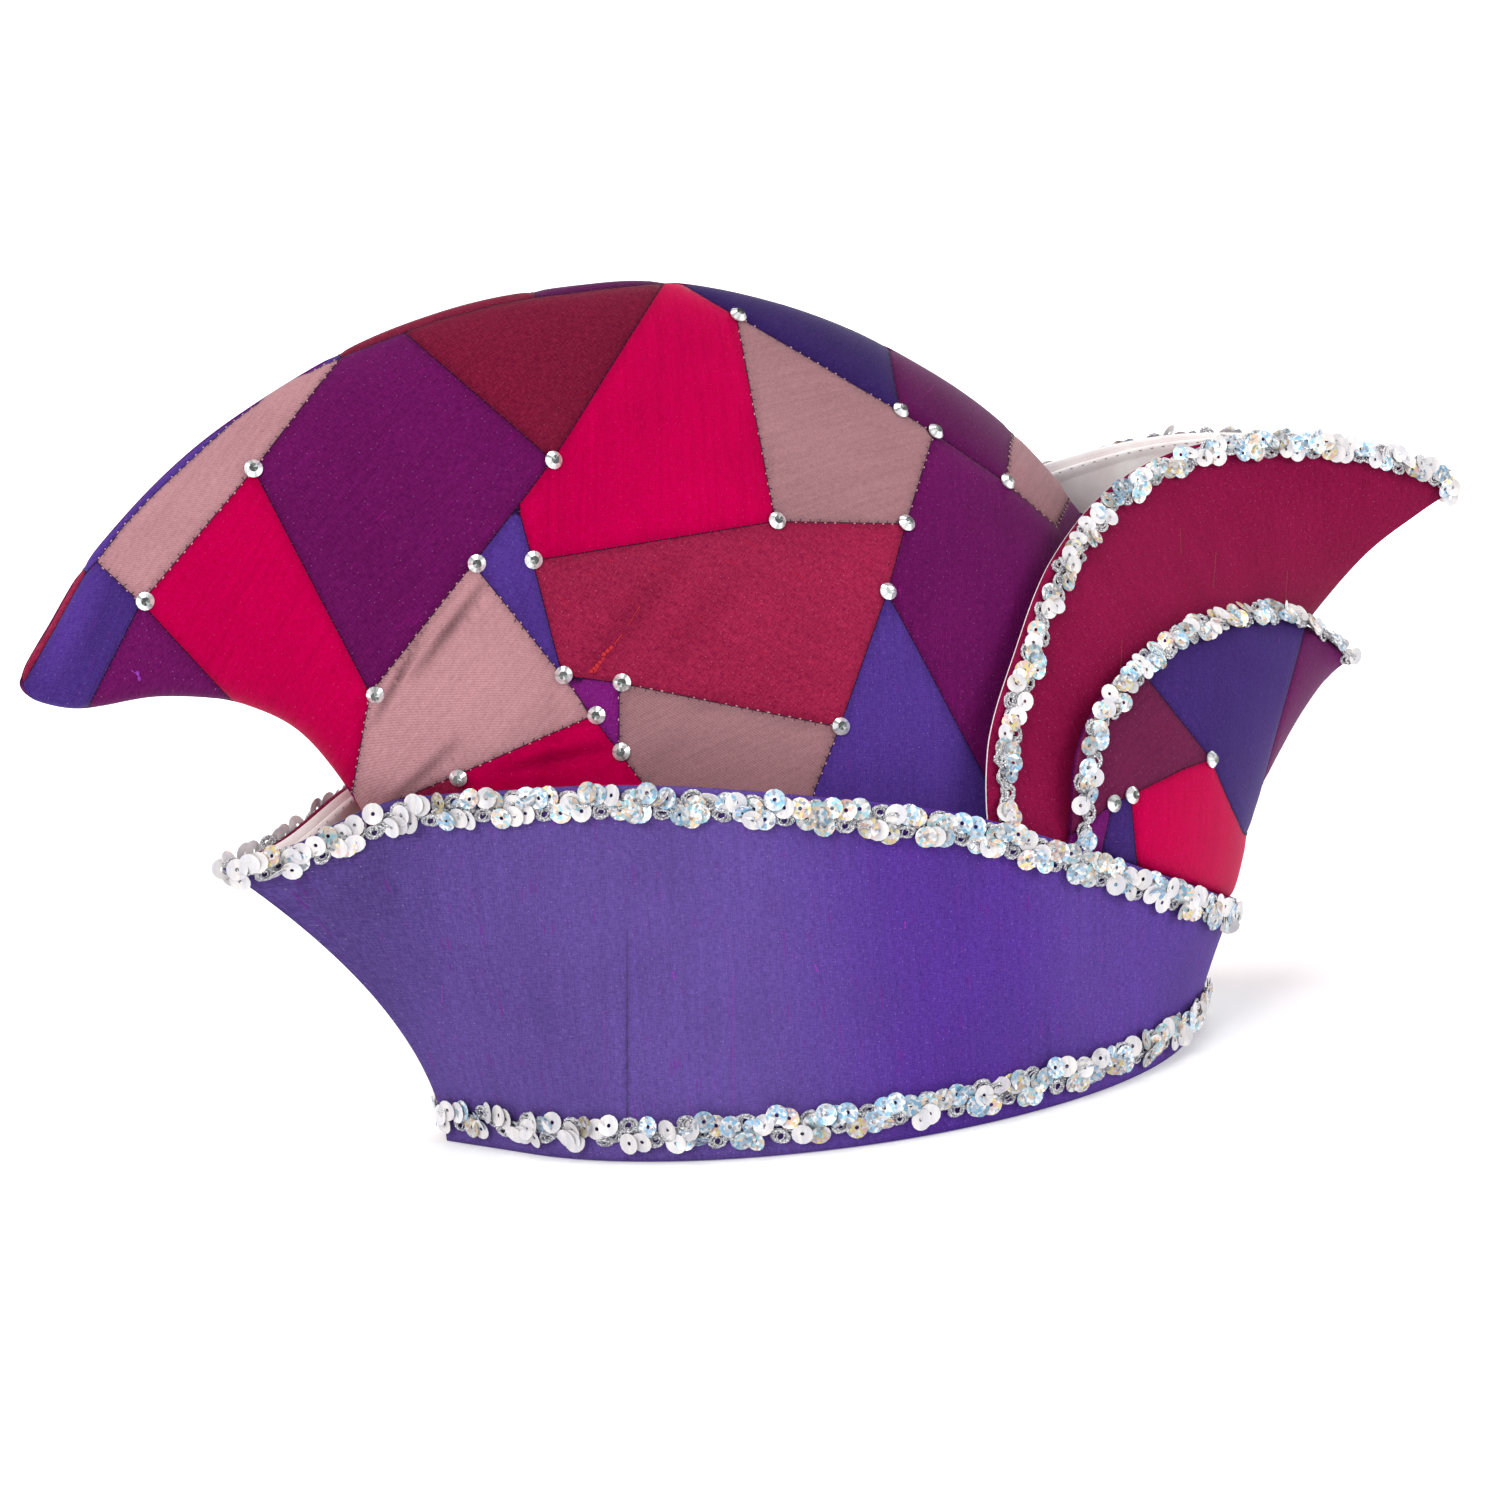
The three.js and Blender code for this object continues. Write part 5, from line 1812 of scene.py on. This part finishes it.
def sequin():
    bm = bmesh.new()
    bmesh.ops.create_circle(bm, cap_ends=True, segments=SEQUIN_SIDES, radius=SEQUIN_RADIUS)
    disc = bm.faces[:]
    shoulder = SEQUIN_RADIUS * SHOULDER_SHARE
    bmesh.ops.inset_individual(bm, faces=disc, thickness=shoulder)
    bmesh.ops.inset_individual(bm, faces=disc, thickness=SEQUIN_RADIUS - shoulder - HOLE_RADIUS)
    bmesh.ops.delete(bm, geom=disc, context="FACES_ONLY")
    for vertex in bm.verts:
        vertex.co.z = SEQUIN_DISH * (vertex.co.xy.length / SEQUIN_RADIUS) ** 2
    bmesh.ops.solidify(bm, geom=bm.faces[:], thickness=SEQUIN_THICKNESS)
    return model_arrays(bm)


SEQUIN_MODEL = sequin()
print("faces of a sequin:", len(SEQUIN_MODEL[1]))

# %% [markdown]
# ## Braid and sequins on every trim
# A pattern of loops and sequins repeats along each trim, and every place in it is shifted, tilted and turned
# a little, as hand work is. One seeded generator draws for a trim, first the loops of a repeat and then
# its sequins.

# %% Places on a trim
STATION_PITCH = 0.5 * MM
REPEAT = 15.6
# Distances in millimetres
CORD_STEP = 1.3
CORD_SWING = 1.1
CORD_HEIGHT = 0.95
TRIM_STYLES = {
    # trim: distance of its rows from the middle, size of its sequins, share of the places that lost theirs
    "band_top_trim": (2.0, 1.0, 0.03),
    "band_rim_trim": (2.0, 1.0, 0.08),
    "tall_fin_trim": (1.4, 0.9, 0.22),
    "small_fin_trim": (1.4, 0.9, 0.22),
}
# Share of a repeat, and row: 1 is towards the edge and -1 away from it
LOOP_PLACES = ((0.0, 1.0), (0.22, 0.2), (0.5, -1.0), (0.75, -0.2))
LOOP_END_CLEAR = 1.5
LOOP_SHIFT = 0.5
LOOP_ROW_SHIFT = 0.3
LOOP_HEIGHT = 0.95
LOOP_STRETCH = 1.35
LOOP_TURN = 0.25
LOOP_TILT = 0.35
RING_RISE = 0.7
# Turn and size of the crossed rings of a loop
LOOP_RINGS = ((0.25, 1.0), (-0.5, 0.8), (0.9, 0.55))

# %% Sequin places
SEQUIN_PLACES = ((0.26, 1), (0.47, 1), (0.68, 1), (0.8, -1), (0.98, -1), (1.16, -1), (0.05, 0.3))
SEQUIN_END_CLEAR = 0.2
SEQUIN_SHIFT = 0.6
SEQUIN_ROW_SHIFT = 0.5
SEQUIN_HEIGHT = 1.75
SEQUIN_HEIGHT_SHIFT = 0.35
# Angles in degrees. A few wild sequins are tilted further than the rest
SEQUIN_LEAN = -9
LEAN_SHIFT = 10
ROW_ROLL = -8
ROLL_SHIFT = 11
WILD_SHARE = 0.15
WILD_TILT = 2.4
PEARL_TONES = (0.8, 1.0)
FOIL_TONES = (0.5, 0.95)
# Share of a trim's length, and share of pearl sequins there
PEARLS_ON_BAND = np.array(((0.0, 0.9), (0.18, 0.7), (0.32, 0.12), (0.62, 0.2), (0.8, 0.55), (1.0, 0.6)))
PEARLS_ON_FIN = np.array(((0.0, 0.45), (0.3, 0.4), (0.6, 0.25), (1.0, 0.6)))


def pearl_share(trim, share):
    """Pearl sequins gather at the rear of the band and at the foot and tip of a fin."""
    return np.interp(share, *(PEARLS_ON_BAND if trim.startswith("band") else PEARLS_ON_FIN).T)


# %% Layout of a trim
def turned(axis, angle, vectors):
    """Vectors turned about an axis by an angle in radians."""
    return np.array(Matrix.Rotation(angle, 3, Vector(axis)) @ Matrix(vectors).transposed()).T


class TrimLayout:
    """The places of the cord, the loops and the sequins of one trim."""

    def __init__(self, trim, side, seed):
        self.trim = trim
        self.row_distance, self.sequin_size, self.bare_share = TRIM_STYLES[trim]
        self.draw = np.random.default_rng(seed)
        self.at, self.forward, self.outward = resample(*trim_path(trim, side), STATION_PITCH)
        self.length = len(self.at) * STATION_PITCH / MM
        self.inward_sign = 1 if np.cross(self.outward[5], self.forward[5])[2] > 0 else -1

    def station(self, run):
        """A place and the directions along, across and out, at a distance from the trim's start."""
        index = int(np.clip(round(run * MM / STATION_PITCH), 0, len(self.at) - 1))
        across = np.cross(self.outward[index], self.forward[index])
        return self.at[index], self.forward[index], across, self.outward[index]

    def cord(self):
        """Points and normals of a cord that swings from side to side."""
        points = []
        normals = []
        for run in np.arange(0, self.length, CORD_STEP):
            origin, _, across, out = self.station(run)
            bend = CORD_SWING * math.cos(2 * math.pi * run / REPEAT) * self.inward_sign
            points.append(origin + MM * (bend * across + CORD_HEIGHT * out))
            normals.append(out)
        return np.array(points), np.array(normals)

    def loops(self, repeat):
        """Frames of the crossed rings of a repeat."""
        frames = []
        for share, row in LOOP_PLACES:
            run = (repeat + share) * REPEAT + LOOP_SHIFT * self.draw.normal()
            if not LOOP_END_CLEAR < run < self.length - LOOP_END_CLEAR:
                continue
            origin, along, across, out = self.station(run)
            offset = (self.row_distance * row + LOOP_ROW_SHIFT * self.draw.normal()) * self.inward_sign
            centre = origin + MM * (offset * across + LOOP_HEIGHT * out)
            for turn, size in LOOP_RINGS:
                axes = np.array((along * LOOP_STRETCH, across, out))
                axes = turned(out, turn + LOOP_TURN * self.draw.normal(), axes)
                axes = turned(along, LOOP_TILT * self.draw.normal(), axes)
                rise = MM * RING_RISE * (1 - size) * out
                frames.append(frame_of(centre + rise, *(axes * size * MM)))
        return frames

    def sequins(self, repeat):
        """Frame, finish number and tone of the sequins of a repeat."""
        made = []
        for share, row in SEQUIN_PLACES:
            run = (repeat + share) * REPEAT + SEQUIN_SHIFT * self.draw.normal()
            bare = self.draw.random() < self.bare_share
            if bare or not SEQUIN_END_CLEAR < run < self.length - SEQUIN_END_CLEAR:
                continue
            frame = self.sequin_frame(run, row)
            pearl = self.draw.random() < pearl_share(self.trim, run / self.length)
            finish = 0 if pearl else 1 + int(self.draw.choice(len(FOILS), p=FOIL_SHARES))
            made.append((frame, finish, self.draw.uniform(*(PEARL_TONES if pearl else FOIL_TONES))))
        return made

    def sequin_frame(self, run, row):
        """A sequin that leans on the one before it and out from the middle of the trim."""
        origin, along, across, out = self.station(run)
        offset = (self.row_distance * row + SEQUIN_ROW_SHIFT * self.draw.normal()) * self.inward_sign
        height = SEQUIN_HEIGHT + SEQUIN_HEIGHT_SHIFT * self.draw.random()
        wild = WILD_TILT if self.draw.random() < WILD_SHARE else 1.0
        lean = SEQUIN_LEAN + LEAN_SHIFT * wild * self.draw.normal()
        axes = turned(across, math.radians(lean), np.array((along, across, out)))
        roll = ROW_ROLL * row * self.inward_sign + ROLL_SHIFT * wild * self.draw.normal()
        axes = turned(along, math.radians(roll), axes)
        axes = turned(axes[2], self.draw.random() * math.pi, axes)
        centre = origin + MM * (offset * across + height * out)
        return frame_of(centre, *(axes * self.sequin_size * MM))


# %% Dress the trims
CORD_OVERLAP = 1.35
CORD_WIDTH = 1.5
CORD_THICKNESS = 1.15
FIRST_TRIM_SEED = 101


def braid_piece(name, cord_points, cord_normals, loop_frames):
    """The loops and the cord between them, joined in one mesh."""
    cord_frames = [link_frame(first, second, out, CORD_OVERLAP, CORD_WIDTH, CORD_THICKNESS)
                   for first, second, out in zip(cord_points, cord_points[1:], cord_normals)]
    cord = copies(name + "_cord", SPINDLE, cord_frames, [SILVER_YARN])
    loops = copies(name, LOOP_MODEL, loop_frames, [SILVER_YARN])
    bm = bmesh.new()
    bm.from_mesh(loops.data)
    bm.from_mesh(cord.data)
    bm.to_mesh(loops.data)
    bm.free()
    loops.data.shade_smooth()
    bpy.data.objects.remove(cord)
    return loops


sequin_total = 0
trim_sides = [(trim, side) for trim in TRIM_TRACKS for side in (RIGHT, LEFT)]
for trim_seed, (trim, side) in enumerate(trim_sides, FIRST_TRIM_SEED):
    label = f"{trim}_{SIDE_NAMES[side]}"
    layout = TrimLayout(trim, side, trim_seed)
    loop_frames = []
    sequin_rows = []
    for repeat in range(-1, int(layout.length / REPEAT) + 1):
        loop_frames += layout.loops(repeat)
        sequin_rows += layout.sequins(repeat)
    braid = braid_piece(f"{label}_yarn", *layout.cord(), loop_frames)
    place_piece(braid, [label])
    sequin_frames, picks, tones = zip(*sequin_rows)
    sequins = copies(f"{label}_sequins", SEQUIN_MODEL, sequin_frames, SEQUIN_FINISHES, picks, False, tones)
    place_piece(sequins, [])
    sequin_total += len(sequin_frames)
print("sequins:", sequin_total)

# %% [markdown]
# ## Rhinestones
# A flat-backed stone has a silver foil behind it. Its reflections are painted: the facets are bright and dark
# by turns around a dark table with a lighter part, and each facet is mottled with a painted sparkle. A cone
# with a flat top gives the facets, poke splits the table, and every facet has its own finish number.

# %% Stone finishes and model
SPARKLE_SCALE = 900
DARK_SHARE = 0.72


def stone_finish(name, tone):
    material, shader, start = new_finish(name)
    sparkle = start.place().stretched(SPARKLE_SCALE, SPARKLE_SCALE).grain(2.0, "3D")
    # A painted sparkle: each facet is mottled lighter and darker
    sparkle.rise(0.35, 0.65).mix(scaled(tone, DARK_SHARE), tone).into(shader, "Base Color")
    (0.05 + 0.1 * sparkle).into(shader, "Roughness")
    fix(shader, {"Metallic": 0.55, "Coat Weight": 1.0, "Coat Roughness": 0.03})
    return material


STONE_FINISHES = [
    stone_finish("stone_bright", colour(250, 251, 252)),
    stone_finish("stone_pale", colour(206, 210, 208)),
    stone_finish("stone_grey", colour(128, 134, 130)),
    stone_finish("stone_dark", colour(72, 78, 76)),
]
STONE_RADIUS = 2.35
STONE_HEIGHT = 1.7
STONE_SIDES = 16
TABLE_SHARE = 0.48
GIRDLE_SHARE = 0.28
FOOT_SHARE = 0.95
# Painted reflections of the foil: the finish numbers of the facets around the stone, bright and dark by
# turns, and of the parts of the table, mostly dark with a painted glint
FACET_TONES = (0, 0, 0, 1, 0, 0, 1, 0)
TABLE_TONES = (3, 3, 3, 3, 3, 2, 2, 1)


def stone():
    bm = bmesh.new()
    bmesh.ops.create_cone(bm, cap_ends=True, segments=STONE_SIDES, radius1=STONE_RADIUS,
                          radius2=STONE_RADIUS * TABLE_SHARE, depth=STONE_HEIGHT * (1 - GIRDLE_SHARE))
    lowest = min(vertex.co.z for vertex in bm.verts)
    bmesh.ops.translate(bm, verts=bm.verts, vec=(0, 0, STONE_HEIGHT * GIRDLE_SHARE - lowest))
    bm.normal_update()
    base = [face for face in bm.faces if face.normal.z < -0.9]
    made = bmesh.ops.extrude_face_region(bm, geom=base)
    below = [item for item in made["geom"] if isinstance(item, bmesh.types.BMVert)]
    bmesh.ops.translate(bm, verts=below, vec=(0, 0, -STONE_HEIGHT * GIRDLE_SHARE))
    bmesh.ops.scale(bm, verts=below, vec=(FOOT_SHARE, FOOT_SHARE, 1.0))
    bmesh.ops.delete(bm, geom=[face for face in base if face.is_valid], context="FACES_ONLY")
    bm.normal_update()
    table = [face for face in bm.faces if face.normal.z > 0.9]
    fan = bmesh.ops.poke(bm, faces=table)["faces"]
    bmesh.ops.recalc_face_normals(bm, faces=bm.faces)
    for index, face in enumerate(fan):
        face.material_index = TABLE_TONES[index // 2 % len(TABLE_TONES)]
    slants = [face for face in bm.faces if 0.2 < face.normal.z < 0.95 and face not in fan]
    slants.sort(key=lambda face: math.atan2(face.calc_center_median().y, face.calc_center_median().x))
    for index, face in enumerate(slants):
        face.material_index = FACET_TONES[index % len(FACET_TONES)]
    return model_arrays(bm)


STONE_MODEL = stone()

# %% Stones at the corners of the patches
CROWN_STONES = {
    RIGHT: ((0.235, 0.845), (0.15, 0.61), (0.315, 0.235), (0.375, 0.615), (0.407, 0.68), (0.42, 0.81),
            (0.432, 0.567), (0.46, 0.517), (0.474, 0.553), (0.479, 0.474), (0.376, 0.28), (0.548, 0.741),
            (0.536, 0.972), (0.62, 0.912), (0.64, 0.903), (0.685, 0.881), (0.613, 0.767),
            (0.601, 0.677), (0.58, 0.51)),
    LEFT: ((0.17, 0.55), (0.25, 0.3), (0.27, 0.8), (0.345, 0.5), (0.4, 0.75), (0.42, 0.4), (0.465, 0.6),
           (0.5, 0.85), (0.53, 0.5), (0.575, 0.7), (0.6, 0.45), (0.63, 0.88), (0.67, 0.7)),
}
FIN_STONES = {
    RIGHT: ((0.72, 0.444), (0.89, 0.303), (0.925, 0.275), (0.166, 0.332)),
    LEFT: ((0.7, 0.45), (0.88, 0.32), (0.45, 0.55)),
}
CROWN_STONE_SEED = 300
FIN_STONE_SEED = 400
# Any direction that no stone faces, to start its turn from
TURN_START = (0.3, 0.5, 0.8)


def set_stones(name, surface, side, shares, seed):
    draw = np.random.default_rng(seed)
    frames = []
    for point, normal in zip(*spots_on(surface, side, *np.array(shares).T)):
        first = unit(np.cross(normal, TURN_START))
        axes = turned(normal, draw.random() * 2 * math.pi, np.array((first, np.cross(normal, first), normal)))
        frames.append(frame_of(point, *(axes * MM)))
    piece = copies(f"{name}s_{SIDE_NAMES[side]}", STONE_MODEL, frames, STONE_FINISHES, smooth=False)
    nodes = [f"{name}_{SIDE_NAMES[side]}_{index + 1}" for index in range(len(shares))]
    place_piece(piece, nodes)
    print(piece.name, "stones:", len(frames))


for side in (RIGHT, LEFT):
    set_stones("crown_stone", "crown", side, CROWN_STONES[side], CROWN_STONE_SEED + side)
    set_stones("fin_stone", "small_fin", side, FIN_STONES[side], FIN_STONE_SEED + side)
